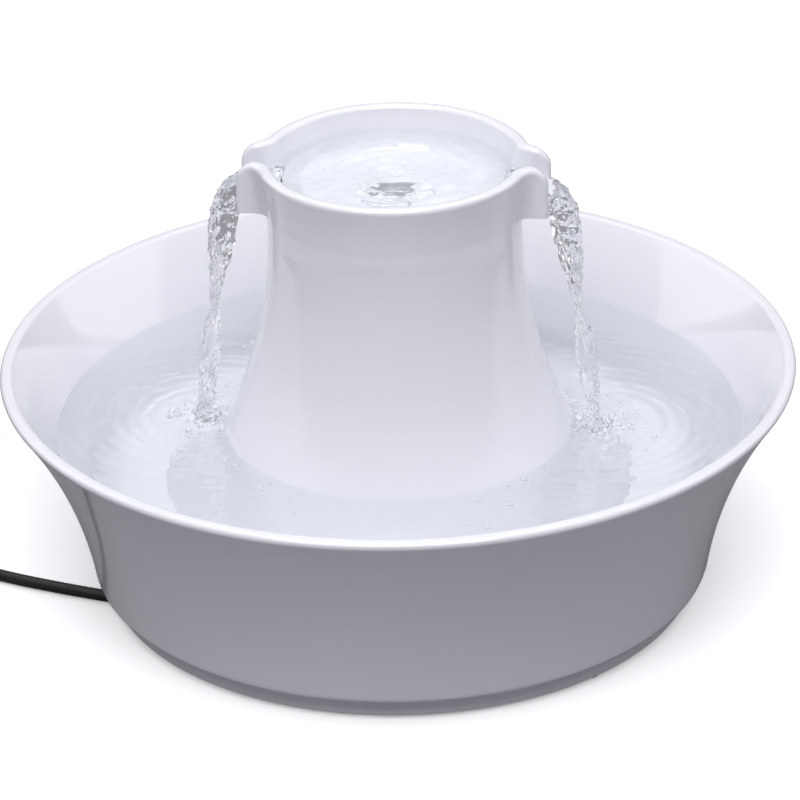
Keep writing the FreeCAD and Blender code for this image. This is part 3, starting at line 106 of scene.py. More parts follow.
class Finish:
    """A procedural material that is built up a layer at a time."""

    def __init__(self, name, colour, roughness, **sockets):
        self.material = bpy.data.materials.new(name)
        self.material.use_nodes = True
        self.nodes = self.material.node_tree.nodes
        self.links = self.material.node_tree.links
        self.shader = self.nodes["Principled BSDF"]
        self.place = self.nodes.new("ShaderNodeTexCoord").outputs["Object"]
        self.colour = self.constant(colour)
        self.roughness = roughness
        self.normal = None
        for socket, value in sockets.items():
            self.shader.inputs[socket.replace("_", " ")].default_value = value

    def constant(self, colour):
        rgb = self.nodes.new("ShaderNodeRGB")
        rgb.outputs[0].default_value = (*colour, 1)
        return rgb.outputs[0]

    def noise(self, scale, detail=3, stretch=(1, 1, 1)):
        mapping = self.nodes.new("ShaderNodeMapping")
        mapping.inputs["Scale"].default_value = stretch
        self.links.new(self.place, mapping.inputs["Vector"])
        texture = self.nodes.new("ShaderNodeTexNoise")
        texture.inputs["Scale"].default_value = scale
        texture.inputs["Detail"].default_value = detail
        self.links.new(mapping.outputs[0], texture.inputs["Vector"])
        return texture.outputs["Fac"]

    def cells(self, scale, feature="F1"):
        texture = self.nodes.new("ShaderNodeTexVoronoi")
        texture.feature = feature
        texture.inputs["Scale"].default_value = scale
        self.links.new(self.place, texture.inputs["Vector"])
        return texture.outputs["Distance"]

    def bands(self, scale, direction):
        texture = self.nodes.new("ShaderNodeTexWave")
        texture.bands_direction = direction
        texture.inputs["Scale"].default_value = scale
        texture.inputs["Distortion"].default_value = 0.4
        self.links.new(self.place, texture.inputs["Vector"])
        return texture.outputs["Fac"]

    def ranged(self, value, low, high, to_low, to_high):
        node = self.nodes.new("ShaderNodeMapRange")
        node.inputs["From Min"].default_value = low
        node.inputs["From Max"].default_value = high
        node.inputs["To Min"].default_value = to_low
        node.inputs["To Max"].default_value = to_high
        self.links.new(value, node.inputs["Value"])
        return node.outputs["Result"]

    def tint(self, value, low, high, colour, most=1.0):
        """Mixes a second colour in where the value is high."""
        mix = self.nodes.new("ShaderNodeMix")
        mix.data_type = "RGBA"
        self.links.new(self.ranged(value, low, high, 0, most), mix.inputs["Factor"])
        self.links.new(self.colour, mix.inputs["A"])
        mix.inputs["B"].default_value = (*colour, 1)
        self.colour = mix.outputs["Result"]
        return self

    def vary_roughness(self, value, spread):
        middle = self.roughness
        self.roughness = self.ranged(value, 0.3, 0.7, max(middle - spread, 0.01), middle + spread)
        return self

    def bump(self, value, height, strength=1.0):
        node = self.nodes.new("ShaderNodeBump")
        node.inputs["Distance"].default_value = height
        node.inputs["Strength"].default_value = strength
        self.links.new(value, node.inputs["Height"])
        if self.normal:
            self.links.new(self.normal, node.inputs["Normal"])
        self.normal = node.outputs["Normal"]
        return self

    def done(self):
        self.links.new(self.colour, self.shader.inputs["Base Color"])
        if isinstance(self.roughness, float):
            self.shader.inputs["Roughness"].default_value = self.roughness
        else:
            self.links.new(self.roughness, self.shader.inputs["Roughness"])
        if self.normal:
            self.links.new(self.normal, self.shader.inputs["Normal"])
        return self.material


def glaze():
    """White glaze with a faint cool tone, soft flow marks and a very fine ripple."""
    made = Finish("white_glaze", (0.80, 0.80, 0.845), 0.09, IOR=1.52, Coat_Weight=0.5, Coat_Roughness=0.03)
    made.tint(made.noise(14, 4), 0.35, 0.75, (0.76, 0.765, 0.82), 0.6)
    made.tint(made.noise(900, 2), 0.74, 0.80, (0.62, 0.60, 0.60), 0.25)
    made.vary_roughness(made.noise(60, 3), 0.03)
    made.bump(made.noise(38, 2), 0.00012, 0.5)
    made.bump(made.noise(260, 2), 0.00001, 0.4)
    return made.done()


def plastic(name, colour, roughness, grain=2500, depth=0.00002):
    """Moulded plastic with a fine spark-eroded grain and slight shade changes."""
    made = Finish(name, colour, roughness)
    lighter = tuple(min(c * 1.25 + 0.01, 1) for c in colour)
    made.tint(made.noise(90, 3), 0.4, 0.75, lighter, 0.6)
    made.vary_roughness(made.noise(300, 3), 0.06)
    made.bump(made.noise(grain, 3), depth, 0.7)
    return made.done()


def rubber(name, colour, roughness=0.55):
    """Rubber with a dusty bloom and a fine skin."""
    made = Finish(name, colour, roughness, IOR=1.5)
    made.tint(made.noise(240, 4), 0.45, 0.8, tuple(c * 1.6 + 0.012 for c in colour), 0.7)
    made.vary_roughness(made.noise(500, 3), 0.08)
    made.bump(made.noise(1800, 3), 0.00003, 0.6)
    return made.done()


def metal(name, colour, roughness, stretch=(1, 1, 1)):
    """Metal with drawn lines along one direction."""
    made = Finish(name, colour, roughness, Metallic=1.0)
    made.tint(made.noise(400, 4, stretch), 0.4, 0.7, tuple(c * 0.75 for c in colour), 0.5)
    made.vary_roughness(made.noise(900, 4, stretch), 0.08)
    made.bump(made.noise(1500, 3, stretch), 0.00001, 0.6)
    return made.done()


def laminations():
    made = Finish("core_laminations", (0.42, 0.43, 0.45), 0.38, Metallic=1.0)
    lines = made.bands(320, "Z")
    made.tint(lines, 0.15, 0.5, (0.16, 0.13, 0.11), 0.7)
    made.bump(lines, 0.00008)
    made.vary_roughness(made.noise(600, 3), 0.1)
    return made.done()


def copper_wire():
    made = Finish("copper_wire", (0.72, 0.30, 0.13), 0.28, Metallic=1.0, Coat_Weight=0.6)
    turns = made.bands(520, "X")
    made.tint(turns, 0.1, 0.45, (0.25, 0.07, 0.03), 0.8)
    made.bump(turns, 0.0001)
    made.vary_roughness(made.noise(400, 3), 0.08)
    return made.done()


def foam():
    """Open-cell foam: a web of cells whose insides, the pores, are painted darker as shade."""
    made = Finish("open_foam", (0.055, 0.055, 0.06), 0.95)
    web = made.cells(900, "DISTANCE_TO_EDGE")
    # Painted shade: the inside of each cell, the foam's pores, is darkened as if shadowed.
    made.tint(web, 0.0, 0.18, (0.012, 0.012, 0.014), 0.9)
    made.bump(web, 0.0006)
    made.bump(made.cells(380), 0.0004, 0.6)
    return made.done()


def charcoal():
    made = Finish("charcoal", (0.025, 0.025, 0.027), 0.6)
    grains = made.cells(700)
    # Painted shade: each grain is darkened away from its middle, towards the gaps between the grains.
    made.tint(grains, 0.1, 0.6, (0.006, 0.006, 0.007), 0.9)
    made.bump(grains, 0.0008)
    made.vary_roughness(made.cells(1200), 0.2)
    return made.done()


def felt():
    made = Finish("non_woven_pad", (0.82, 0.82, 0.79), 0.95, Sheen_Weight=0.3)
    fibres = made.noise(1600, 5, (1, 1, 0.15))
    made.tint(fibres, 0.4, 0.65, (0.62, 0.62, 0.60), 0.7)
    made.bump(fibres, 0.0003)
    made.bump(made.noise(1400, 4, (0.15, 1, 1)), 0.0002)
    return made.done()


def ferrite():
    made = Finish("sintered_magnet", (0.05, 0.05, 0.055), 0.5, Metallic=0.4)
    made.tint(made.cells(1500), 0.1, 0.5, (0.10, 0.10, 0.11), 0.6)
    made.bump(made.noise(1800, 4), 0.00004)
    made.vary_roughness(made.noise(500, 3), 0.12)
    return made.done()


def clear_water(name, tint, ripple_scale, ripple_height):
    """Water that light also passes through in shadow rays, so that what lies under it stays bright."""
    made = Finish(name, tint, 0.0, IOR=1.333, Transmission_Weight=1.0)
    made.bump(made.noise(ripple_scale, 3), ripple_height, 0.6)
    material = made.done()
    nodes, links = material.node_tree.nodes, material.node_tree.links
    clear = nodes.new("ShaderNodeBsdfTransparent")
    clear.inputs["Color"].default_value = (*tint, 1)
    path = nodes.new("ShaderNodeLightPath")
    either = nodes.new("ShaderNodeMath")
    either.operation = "MAXIMUM"
    links.new(path.outputs["Is Shadow Ray"], either.inputs[0])
    links.new(path.outputs["Is Diffuse Ray"], either.inputs[1])
    mix = nodes.new("ShaderNodeMixShader")
    links.new(either.outputs[0], mix.inputs["Fac"])
    links.new(made.shader.outputs[0], mix.inputs[1])
    links.new(clear.outputs[0], mix.inputs[2])
    links.new(mix.outputs[0], nodes["Material Output"].inputs["Surface"])
    return material


def dress_nodes(white):
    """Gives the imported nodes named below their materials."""
    black_rubber = rubber("black_rubber", (0.03, 0.03, 0.032))
    cord_black = rubber("cord_black", (0.012, 0.012, 0.013), 0.42)
    cover_black = plastic("cover_black", (0.03, 0.03, 0.034), 0.32)
    finishes = {
        ("bowl", "tower"): white,
        ("foot_pads", "suction_cups", "volute_o_ring", "shaft_bushes"): black_rubber,
        ("riser_seal",): rubber("white_silicone", (0.70, 0.71, 0.73), 0.4),
        ("riser_tube",): plastic("riser_white", (0.74, 0.75, 0.77), 0.25, 1200, 0.00001),
        ("pump_body", "flow_slider"): plastic("pump_black", (0.022, 0.022, 0.025), 0.5),
        ("pump_back_cover", "volute_cover", "intake_plate"): cover_black,
        ("impeller",): plastic("impeller_white", (0.72, 0.72, 0.68), 0.4),
        ("rotor_magnet",): ferrite(),
        ("impeller_shaft",): plastic("shaft_ceramic", (0.75, 0.73, 0.68), 0.15, 900, 0.00001),
        ("stator_core",): laminations(),
        ("coil_bobbin",): plastic("bobbin_nylon", (0.62, 0.60, 0.50), 0.45),
        ("coil_windings",): copper_wire(),
        ("filter_tray",): plastic("tray_grey", (0.62, 0.65, 0.68), 0.4),
        ("carbon_frame",): plastic("filter_white", (0.74, 0.75, 0.76), 0.4),
        ("adaptor_body", "adaptor_back"): plastic("adaptor_black", (0.018, 0.018, 0.02), 0.45),
        ("plug_blades",): metal("plated_blades", (0.72, 0.68, 0.55), 0.25, (0.05, 1, 1)),
        ("cord_plug", "pump_gland", "adaptor_boot", "pump_lead", "cord_tie"): cord_black,
    }
    for names, finish in finishes.items():
        for name in names:
            data = NODES[name].data
            data.materials.clear()
            data.materials.append(finish)
            for face in data.polygons:
                face.material_index = 0


# The cord's route, in millimetres: from its plug to the coil, the coil, and on to the adaptor.
CORD_ROUTE = [
    (-59.5, -40.1, 5.2),
    (-77, -35.3, 2.6),
    (-99, -29.3, 2.1),
    (-122, -22.6, 2.1),
    (-143, -15.2, 2.1),
    (-152.5, -9.6, 2.4),
]
TURN_TO_ADAPTOR = [(-172.3, 22.2, 8.3), (-177, 32, 8.8), (-177, 40, 9.0)]
COIL_MIDDLE = (-198, -9)
COIL_TURNS = 10
COIL_MIDDLE_RADIUS = 24.6
COIL_PITCH = 4.8
COIL_LOW = 3.25
COIL_START = math.radians(22)
POINTS_A_TURN = 16


def coil_spot(turns_done):
    """A point of the coil, in millimetres: in through the lower layer, out through the upper one."""
    layer_turns = (COIL_TURNS - 0.5) / 2
    inner = COIL_MIDDLE_RADIUS - COIL_PITCH * (layer_turns - 0.5) / 2
    if turns_done <= layer_turns:
        radius, height = inner + COIL_PITCH * (layer_turns - turns_done), COIL_LOW
    elif turns_done >= layer_turns + 0.5:
        radius = inner + COIL_PITCH * (turns_done - layer_turns - 0.5)
        height = COIL_LOW + COIL_PITCH
    else:
        share = (turns_done - layer_turns) / 0.5
        radius = inner - COIL_PITCH * 0.5 * share * (1 - share)
        height = COIL_LOW + COIL_PITCH * (3 * share ** 2 - 2 * share ** 3)
    # A control polygon lies outside its curve, so it is widened by half its sagitta.
    radius /= (1 + math.cos(math.pi / POINTS_A_TURN)) / 2
    angle = COIL_START + 2 * math.pi * turns_done
    return (COIL_MIDDLE[0] + radius * math.cos(angle), COIL_MIDDLE[1] + radius * math.sin(angle), height)


def make_cord():
    """The whole free cord as one smooth line, from its plug through the coil to the adaptor."""
    steps = COIL_TURNS * POINTS_A_TURN
    coil = [coil_spot(number / POINTS_A_TURN) for number in range(steps + 1)]
    points = [Vector(p) * MM for p in CORD_ROUTE + coil + TURN_TO_ADAPTOR]
    data = bpy.data.curves.new("power_cord_line", "CURVE")
    data.dimensions = "3D"
    data.bevel_depth = CORD_DIAMETER / 2
    data.bevel_resolution = 5
    data.resolution_u = 6
    data.use_fill_caps = True
    spline = data.splines.new("NURBS")
    spline.points.add(len(points) - 1)
    for spot, point in zip(spline.points, points):
        spot.co = (*point, 1)
    spline.order_u = 3
    spline.use_endpoint_u = True
    cord = bpy.data.objects.new("cord_line", data)
    bpy.context.scene.collection.objects.link(cord)
    data.materials.append(rubber("cord_jacket", (0.010, 0.010, 0.011), 0.38))
    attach(cord, "base")
    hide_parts("power_cord", "cord_coil", "cord_tail")


def ripple(x, y):
    """The height of the bowl's water over its level: rings from both landing places, and a light chop."""
    ring_fade, ring_gap, wide_ring_gap = 33 * MM, 0.82 * MM, 1.9 * MM
    crown_radius, crown_width, boil_radius, chop_fade = 9 * MM, 3 * MM, 11 * MM, 45 * MM
    height = 0.0
    for side, phase in ((1, 0.4), (-1, 2.1)):
        away = math.hypot(x - side * LANDING_RADIUS, y)
        fade = math.exp(-away / ring_fade)
        height += 0.28 * MM * fade * math.sin(away / ring_gap + phase)
        height += 0.30 * MM * fade * math.sin(away / wide_ring_gap - phase)
        crown = math.exp(-(((away - crown_radius) / crown_width) ** 2))
        height += crown * 0.9 * MM * (0.6 + noise.noise(Vector((x, y, side)) * 220))
        boil = math.exp(-((away / boil_radius) ** 2))
        height += boil * 1.3 * MM * noise.noise(Vector((x, y, 3 + side)) * 330)
        near = math.exp(-away / chop_fade)
        height += near * 0.75 * MM * noise.noise(Vector((x, y, 7)) * 110)
        height += fade * 0.45 * MM * noise.noise(Vector((x, y, 9)) * 260)
    height += 0.22 * MM * noise.noise(Vector((x, y, 1)) * 45)
    return height


def wall_radius(height, curve, centre):
    return centre[0] - math.sqrt(curve ** 2 - (height - centre[1]) ** 2)


def new_object(name, mesh, material, smooth=True):
    made = bpy.data.objects.new(name, mesh)
    bpy.context.scene.collection.objects.link(made)
    mesh.materials.append(material)
    if smooth:
        mesh.polygons.foreach_set("use_smooth", [True] * len(mesh.polygons))
    mesh.update()
    return made


def filled_lathe(name, rings, segments, material):
    """A closed body turned about Z. Each ring is (radius, height function of x and y); the first and
    last close on the axis."""
    form = bmesh.new()
    circles = []
    for radius, height in rings:
        circle = []
        for number in range(segments):
            angle = 2 * math.pi * number / segments
            x, y = radius * math.cos(angle), radius * math.sin(angle)
            circle.append(form.verts.new((x, y, height(x, y))))
        circles.append(circle)
    for lower, upper in zip(circles, circles[1:]):
        for number in range(segments):
            after = (number + 1) % segments
            form.faces.new((lower[number], lower[after], upper[after], upper[number]))
    for circle, height in ((circles[0], rings[0][1]), (circles[-1], rings[-1][1])):
        tip = form.verts.new((0, 0, height(0, 0)))
        for number in range(segments):
            form.faces.new((tip, circle[number], circle[(number + 1) % segments]))
    bmesh.ops.recalc_face_normals(form, faces=form.faces)
    mesh = bpy.data.meshes.new(name)
    form.to_mesh(mesh)
    form.free()
    return new_object(name, mesh, material)


def flat(height):
    return lambda x, y: height


def arc(centre, start, stop, steps):
    """Points round centre from start to stop, the short way."""
    first = math.atan2(start[1] - centre[1], start[0] - centre[0])
    last = math.atan2(stop[1] - centre[1], stop[0] - centre[0])
    turn = (last - first + math.pi) % (2 * math.pi) - math.pi
    radius = math.dist(centre, start)
    angles = [first + turn * number / steps for number in range(steps + 1)]
    return [(centre[0] + radius * math.cos(angle), centre[1] + radius * math.sin(angle)) for angle in angles]


def towards(start, stop, share):
    return start[0] + (stop[0] - start[0]) * share, start[1] + (stop[1] - start[1]) * share


# The centres of the bowl's arcs: wall, skirt, outer lip, inner lip and floor bend, and its wall's radii.
BOWL_CENTRES = ((281.53, -17.7), (105.39, 10.6), (135.9, 82.9), (134.2, 82.9), (93.23, 29.0))
OUTER_CURVE = 175.4
INNER_CURVE = 180.0
FOOT_STEPS = 4
SKIRT_STEPS = 7
WALL_STEPS = 60
LIP_STEPS = 9
BEND_STEPS = 16
TURNED_SEGMENTS = 480


def bowl_profile():
    """The bowl's section in millimetres, from the underside round the outside and down the inner wall.
    Each centre belongs to one arc of the section, and each point is where two runs of it meet."""
    curve, skirt, lip, inner_lip, foot = BOWL_CENTRES
    skirt_end = towards(curve, skirt, OUTER_CURVE / (OUTER_CURVE + 3.0))
    lip_start = towards(curve, lip, OUTER_CURVE / (OUTER_CURVE + 1.6))
    lip_end = towards(curve, inner_lip, INNER_CURVE / (INNER_CURVE - 1.6))
    foot_start = towards(curve, foot, INNER_CURVE / (INNER_CURVE + 14.0))
    points = [(40, 9.0), (93.8, 9.0), (94.4, 8.4)]
    points += arc((95.0, 1.4), (94.4, 1.4), (95.0, 0.8), FOOT_STEPS)
    points += arc((102.2, 1.5), (102.2, 0.8), (102.9, 1.5), FOOT_STEPS)
    points += [(102.9, 7.2), (103.3, 7.6)]
    points += arc(skirt, (skirt[0], 7.6), skirt_end, SKIRT_STEPS)
    points += arc(curve, skirt_end, lip_start, WALL_STEPS)[1:]
    points += arc(lip, lip_start, (lip[0], 84.5), LIP_STEPS)[1:]
    points += arc(inner_lip, (inner_lip[0], 84.5), lip_end, LIP_STEPS)
    points += arc(curve, lip_end, foot_start, WALL_STEPS)[1:]
    points += arc(foot, foot_start, (foot[0], 15.0), BEND_STEPS)[1:]
    return points + [(46, 15.0)]


def bowl_cuts():
    """The cutter for the cord's notch and hole and the four pad pockets, in the underside."""
    form = bmesh.new()
    inside, outside = Vector(CORD_ROUTE[1]) * MM, Vector(CORD_ROUTE[3]) * MM
    turn = Matrix.Rotation(math.atan2(outside.y - inside.y, outside.x - inside.x), 4, "Z")
    size = Matrix.Diagonal((51.4 * MM, 9 * MM, 7.2 * MM, 1))
    start = Matrix.Translation((inside.x, inside.y, 3.4 * MM)) @ turn
    notch = start @ Matrix.Translation((25.7 * MM, 0, 0))
    bmesh.ops.create_cube(form, size=1, matrix=notch @ size)
    plug_hole = (-45, -44, 12, 4.5, 16)
    pad_ring = 98.65 * math.sqrt(0.5)
    pockets = [(pad_ring * x, pad_ring * y, 1.0, 3.2, 4) for x in (1, -1) for y in (1, -1)]
    for x, y, z, radius, depth in (plug_hole, *pockets):
        bmesh.ops.create_cone(
            form,
            cap_ends=True,
            segments=48,
            radius1=radius * MM,
            radius2=radius * MM,
            depth=depth * MM,
            matrix=Matrix.Translation((x * MM, y * MM, z * MM)),
        )
    mesh = bpy.data.meshes.new("cuts")
    form.to_mesh(mesh)
    form.free()
    return mesh


def carve(piece, mesh):
    """Takes a cutter away from a piece's mesh for good."""
    cutter = bpy.data.objects.new("cutter", mesh)
    bpy.context.scene.collection.objects.link(cutter)
    modifier = piece.modifiers.new("carve", "BOOLEAN")
    modifier.operation = "DIFFERENCE"
    modifier.object = cutter
    whole = piece.data
    carved = piece.evaluated_get(bpy.context.evaluated_depsgraph_get())
    piece.data = bpy.data.meshes.new_from_object(carved)
    piece.modifiers.clear()
    bpy.data.objects.remove(cutter)
    bpy.data.meshes.remove(whole)
    piece.data.set_sharp_from_angle(angle=SHARP_FROM)


def make_bowl(material):
    """The bowl, turned finely enough that its thin lip is truly round."""
    rings = [(radius * MM, flat(height * MM)) for radius, height in bowl_profile()]
    bowl = filled_lathe("bowl_body", rings, TURNED_SEGMENTS, material)
    carve(bowl, bowl_cuts())
    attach(bowl, "base")
    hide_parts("bowl")


def add_soft_block(form, low, high, rounding, dent, scale):
    """A soft-edged block between two corners, its skin dented by noise to the depth of dent."""
    cuts = 40
    start = len(form.verts)
    bmesh.ops.create_cube(form, size=2)
    edges = list({edge for vert in list(form.verts)[start:] for edge in vert.link_edges})
    bmesh.ops.subdivide_edges(form, edges=edges, cuts=cuts, use_grid_fill=True)
    middle, half = (low + high) / 2, (high - low) / 2
    for vert in list(form.verts)[start:]:
        spot = Vector(vert.co[axis] * half[axis] for axis in range(3))
        flat_part = [length - rounding for length in half]
        core = Vector(max(min(spot[axis], flat_part[axis]), -flat_part[axis]) for axis in range(3))
        sunk = dent * (0.5 + 0.5 * noise.noise((middle + spot) * scale))
        vert.co = middle + core + (spot - core).normalized() * (rounding - sunk)


def soft_piece(name, form, material, body, node):
    """Makes the piece of a finished form and says which body it rides on, and hides the node it replaces."""
    mesh = bpy.data.meshes.new(name)
    form.to_mesh(mesh)
    form.free()
    piece = new_object(name, mesh, material)
    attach(piece, body)
    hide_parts(node)
    return piece


def make_filters():
    """The foam block, and the carbon filter's two pads and its charcoal."""
    form = bmesh.new()
    low, high = (Vector(corner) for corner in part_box("foam_filter"))
    add_soft_block(form, low, high, 1.6 * MM, 0.45 * MM, 900)
    soft_piece("foam_block", form, foam(), "foam", "foam_filter")

    form = bmesh.new()
    low, high = (Vector(corner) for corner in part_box("filter_pads"))
    thick = Vector((0, 1.6 * MM, 0))
    front_top, back_foot = Vector((high.x, low.y, high.z)), Vector((low.x, high.y, low.z))
    add_soft_block(form, low, front_top + thick, 0.6 * MM, 0.25 * MM, 520)
    add_soft_block(form, back_foot - thick, high, 0.6 * MM, 0.25 * MM, 520)
    soft_piece("felt_pads", form, felt(), "carbon", "filter_pads")

    form = bmesh.new()
    low, high = (Vector(corner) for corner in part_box("carbon_granules"))
    add_soft_block(form, low, high, 0.8 * MM, 0.2 * MM, 600)
    random.seed(11)
    margin = 1.2 * MM
    depth = 0.95 * MM
    columns, rows = 19, 12
    for column in range(columns):
        for row in range(rows):
            for y in (low.y + depth, high.y - depth):
                size = random.uniform(0.9, 1.25) * MM
                x = low.x + margin + (high.x - low.x - 2 * margin) * column / (columns - 1)
                z = low.z + margin + (high.z - low.z - 2 * margin) * row / (rows - 1)
                turn = Matrix.Rotation(random.uniform(0, 6.28), 4, "Z")
                place = Matrix.Translation((x, y, z)) @ turn @ Matrix.Diagonal((1, 0.75, 0.9, 1))
                bmesh.ops.create_icosphere(form, subdivisions=1, radius=size, matrix=place)
    soft_piece("charcoal_grains", form, charcoal(), "carbon", "carbon_granules")


def make_bowl_water(material):
    """The bowl's water: rippled on top, and reaching a hair into the glaze below."""
    top_rings, wall_steps, bend_steps, segments = 230, 8, 6, 640
    edge = wall_radius(BOWL_WATER, WALL_CURVE, WALL_CENTRE)
    rings = []
    for number in range(1, top_rings + 1):
        radius = (edge + SUNK) * number / top_rings
        rings.append((radius, lambda x, y: BOWL_WATER + ripple(x, y)))
    foot = BOWL_FLOOR + FLOOR_ROUNDING
    for number in range(1, wall_steps + 1):
        height = BOWL_WATER + (foot - BOWL_WATER) * number / wall_steps
        rings.append((wall_radius(height, WALL_CURVE, WALL_CENTRE) + SUNK, flat(height)))
    blend_radius = rings[-1][0] - FLOOR_ROUNDING
    for number in range(1, bend_steps + 1):
        angle = math.pi / 2 * number / bend_steps
        radius = blend_radius + FLOOR_ROUNDING * math.cos(angle)
        rings.append((radius, flat(foot - FLOOR_ROUNDING * math.sin(angle) - SUNK)))
    rings.append((blend_radius / 2, flat(BOWL_FLOOR - SUNK)))
    water = filled_lathe("bowl_water", rings, segments, material)
    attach(water, "base")


def dish_ripple(x, y):
    """The dish's water wells up over the outlet and swirls out to the two chutes."""
    swirl_gap, swirl_fade, well_radius = 1.05 * MM, 40 * MM, 9 * MM
    away = math.hypot(x, y)
    angle = math.atan2(y, x)
    swirl = 0.42 * MM * math.sin(away / swirl_gap - 2 * angle) * math.exp(-away / swirl_fade)
    well = 1.2 * MM * math.exp(-((away / well_radius) ** 2))
    chop = 0.85 * noise.noise(Vector((x, y, 5)) * 130) + 0.42 * noise.noise(Vector((x, y, 2)) * 290)
    return well + swirl + chop * MM


def make_dish_water(material):
    """The dish's water, which lifts off with the tower."""
    top_rings, bend_steps, segments = 90, 8, 220
    edge = wall_radius(DISH_WATER, DISH_CURVE, DISH_CENTRE) + SUNK
    rings = []
    for number in range(1, top_rings + 1):
        rings.append((edge * number / top_rings, lambda x, y: DISH_WATER + dish_ripple(x, y)))
    reach = DISH_CURVE + DISH_ROUNDING
    blend = DISH_CENTRE[0] - math.sqrt(reach ** 2 - (DISH_FLOOR + DISH_ROUNDING - DISH_CENTRE[1]) ** 2)
    for number in range(1, bend_steps + 1):
        angle = math.pi / 2 * number / bend_steps
        height = DISH_FLOOR + DISH_ROUNDING * (1 - math.sin(angle))
        rings.append((blend + DISH_ROUNDING * math.cos(angle) + SUNK, flat(height - SUNK)))
    rings.append((blend / 2, flat(DISH_FLOOR - SUNK)))
    water = filled_lathe("dish_water", rings, segments, material)
    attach(water, "tower")


# Each stream's stations: the middle's distance from the axis and height, the half thickness seen from
# the front, the half width seen from the side, and how square the section is, all in millimetres.
STREAM = [
    (38.0, 149.4, 3.3, 6.5, 1.0),
    (46.0, 149.3, 3.2, 6.5, 1.0),
    (51.0, 148.6, 3.4, 6.4, 0.9),
    (54.5, 146.4, 4.0, 6.1, 0.6),
    (57.0, 142.0, 4.4, 5.8, 0.4),
    (58.6, 136.0, 4.5, 5.3, 0.2),
    (59.8, 128.0, 4.2, 4.8, 0.0),
    (61.2, 118.0, 2.9, 4.6, 0.0),
    (62.2, 109.0, 1.8, 4.9, 0.0),
    (63.2, 102.0, 1.6, 5.1, 0.0),
    (64.5, 94.0, 2.7, 3.6, 0.0),
    (65.5, 85.0, 3.4, 2.4, 0.0),
    (66.4, 76.0, 3.0, 2.3, 0.0),
    (67.1, 68.0, 2.4, 3.0, 0.0),
    (67.5, 60.5, 3.2, 3.6, 0.0),
    (67.6, 57.5, 4.6, 4.8, 0.0),
]


def between(rows, share):
    """A Catmull-Rom blend along a list of rows, with share from 0 to 1 over the list."""
    spot = share * (len(rows) - 1)
    index = min(int(spot), len(rows) - 2)
    part = spot - index
    picked = [rows[max(min(index + offset, len(rows) - 1), 0)] for offset in (-1, 0, 1, 2)]
    out = []
    for a, b, c, d in zip(*picked):
        bend = 2 * a - 5 * b + 4 * c - d + part * (3 * (b - c) + d - a)
        out.append(b + 0.5 * part * (c - a + part * bend))
    return out


def make_stream(side, material):
    """One free-falling stream, from inside its chute down into the bowl, ribbed as a thin jet is. It
    sinks into the bowl's water as the tower lifts off."""
    name = "right" if side > 0 else "left"
    steps, around = 240, 64
    rows = [between(STREAM, number / steps) for number in range(steps + 1)]
    form = bmesh.new()
    circles = []
    for number, (reach, height, thick, wide, square) in enumerate(rows):
        before = rows[max(number - 1, 0)]
        after = rows[min(number + 1, steps)]
        along = Vector((after[0] - before[0], 0, after[1] - before[1])).normalized()
        across = Vector((-along.z, 0, along.x))
        share = number / steps
        loose = min(max((share - 0.10) * 5, 0.22), 1)
        power = 1 - 0.62 * max(square, 0)
        circle = []
        for turn in range(around):
            angle = 2 * math.pi * turn / around
            c, s = math.cos(angle), math.sin(angle)
            out = math.copysign(abs(c) ** power, c)
            wide_part = math.copysign(abs(s) ** power, s)
            ribs = 0.11 * math.sin(5 * angle + 9 * share + side) + 0.07 * math.sin(3 * angle - 21 * share)
            ribs += 0.26 * noise.noise(Vector((out * 2.2 + side * 9, wide_part * 2.2, share * 26)))
            ribs += 0.16 * noise.noise(Vector((out * 5 + side * 4, wide_part * 5, share * 60)))
            swell = 1 + ribs * loose
            spot = Vector((reach, 0, height)) + across * (out * thick * swell)
            spot.y += wide_part * wide * swell
            circle.append(form.verts.new((spot.x * side * MM, spot.y * MM, spot.z * MM)))
        circles.append(circle)
    for lower, upper in zip(circles, circles[1:]):
        for turn in range(around):
            after = (turn + 1) % around
            form.faces.new((lower[turn], lower[after], upper[after], upper[turn]))
    form.faces.new(circles[0])
    form.faces.new(circles[-1])
    bmesh.ops.recalc_face_normals(form, faces=form.faces)
    mesh = bpy.data.meshes.new(f"stream_{name}")
    form.to_mesh(mesh)
    form.free()
    stream = new_object(f"stream_{name}", mesh, material)
    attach(stream, "base")
    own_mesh(stream)


def make_bubbles(material):
    """Bubbles round both landing places, some that drifted off, and a few in front of the tower's foot."""
    landed, drifted, at_foot = 80, 9, 8
    shrink_over = 40 * MM
    random.seed(7)
    form = bmesh.new()
    for side, outward, foot_heading in ((1, 0, -0.72), (-1, math.pi, -2.42)):
        for _ in range(landed):
            away = random.uniform(6, 34) * MM * random.uniform(0.5, 1)
            angle = random.uniform(0, 2 * math.pi)
            x, y = side * LANDING_RADIUS + away * math.cos(angle), away * math.sin(angle)
            size = random.uniform(0.5, 1.7) * MM * (1.1 - away / shrink_over)
            add_bubble(form, x, y, size)
        for _ in range(drifted):
            angle = outward + random.uniform(-1.3, 1.3)
            reach = random.uniform(66, 86) * MM
            size = random.uniform(0.6, 1.3) * MM
            add_bubble(form, reach * math.cos(angle), reach * math.sin(angle), size)
        for _ in range(at_foot):
            angle = foot_heading + random.uniform(-0.2, 0.2)
            reach = random.uniform(62.5, 69) * MM
            size = random.uniform(0.5, 1.2) * MM
            add_bubble(form, reach * math.cos(angle), reach * math.sin(angle), size)
    mesh = bpy.data.meshes.new("bubbles")
    form.to_mesh(mesh)
    form.free()
    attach(new_object("bubbles", mesh, material), "base")


def add_bubble(form, x, y, size):
    """A flattened bubble, half above the water; the smallest are left out."""
    smallest = 0.25 * MM
    if size < smallest:
        return
    place = Matrix.Translation((x, y, BOWL_WATER + ripple(x, y) + size * 0.15))
    flattened = place @ Matrix.Diagonal((1, 1, 0.75, 1))
    bmesh.ops.create_icosphere(form, subdivisions=2, radius=size, matrix=flattened)


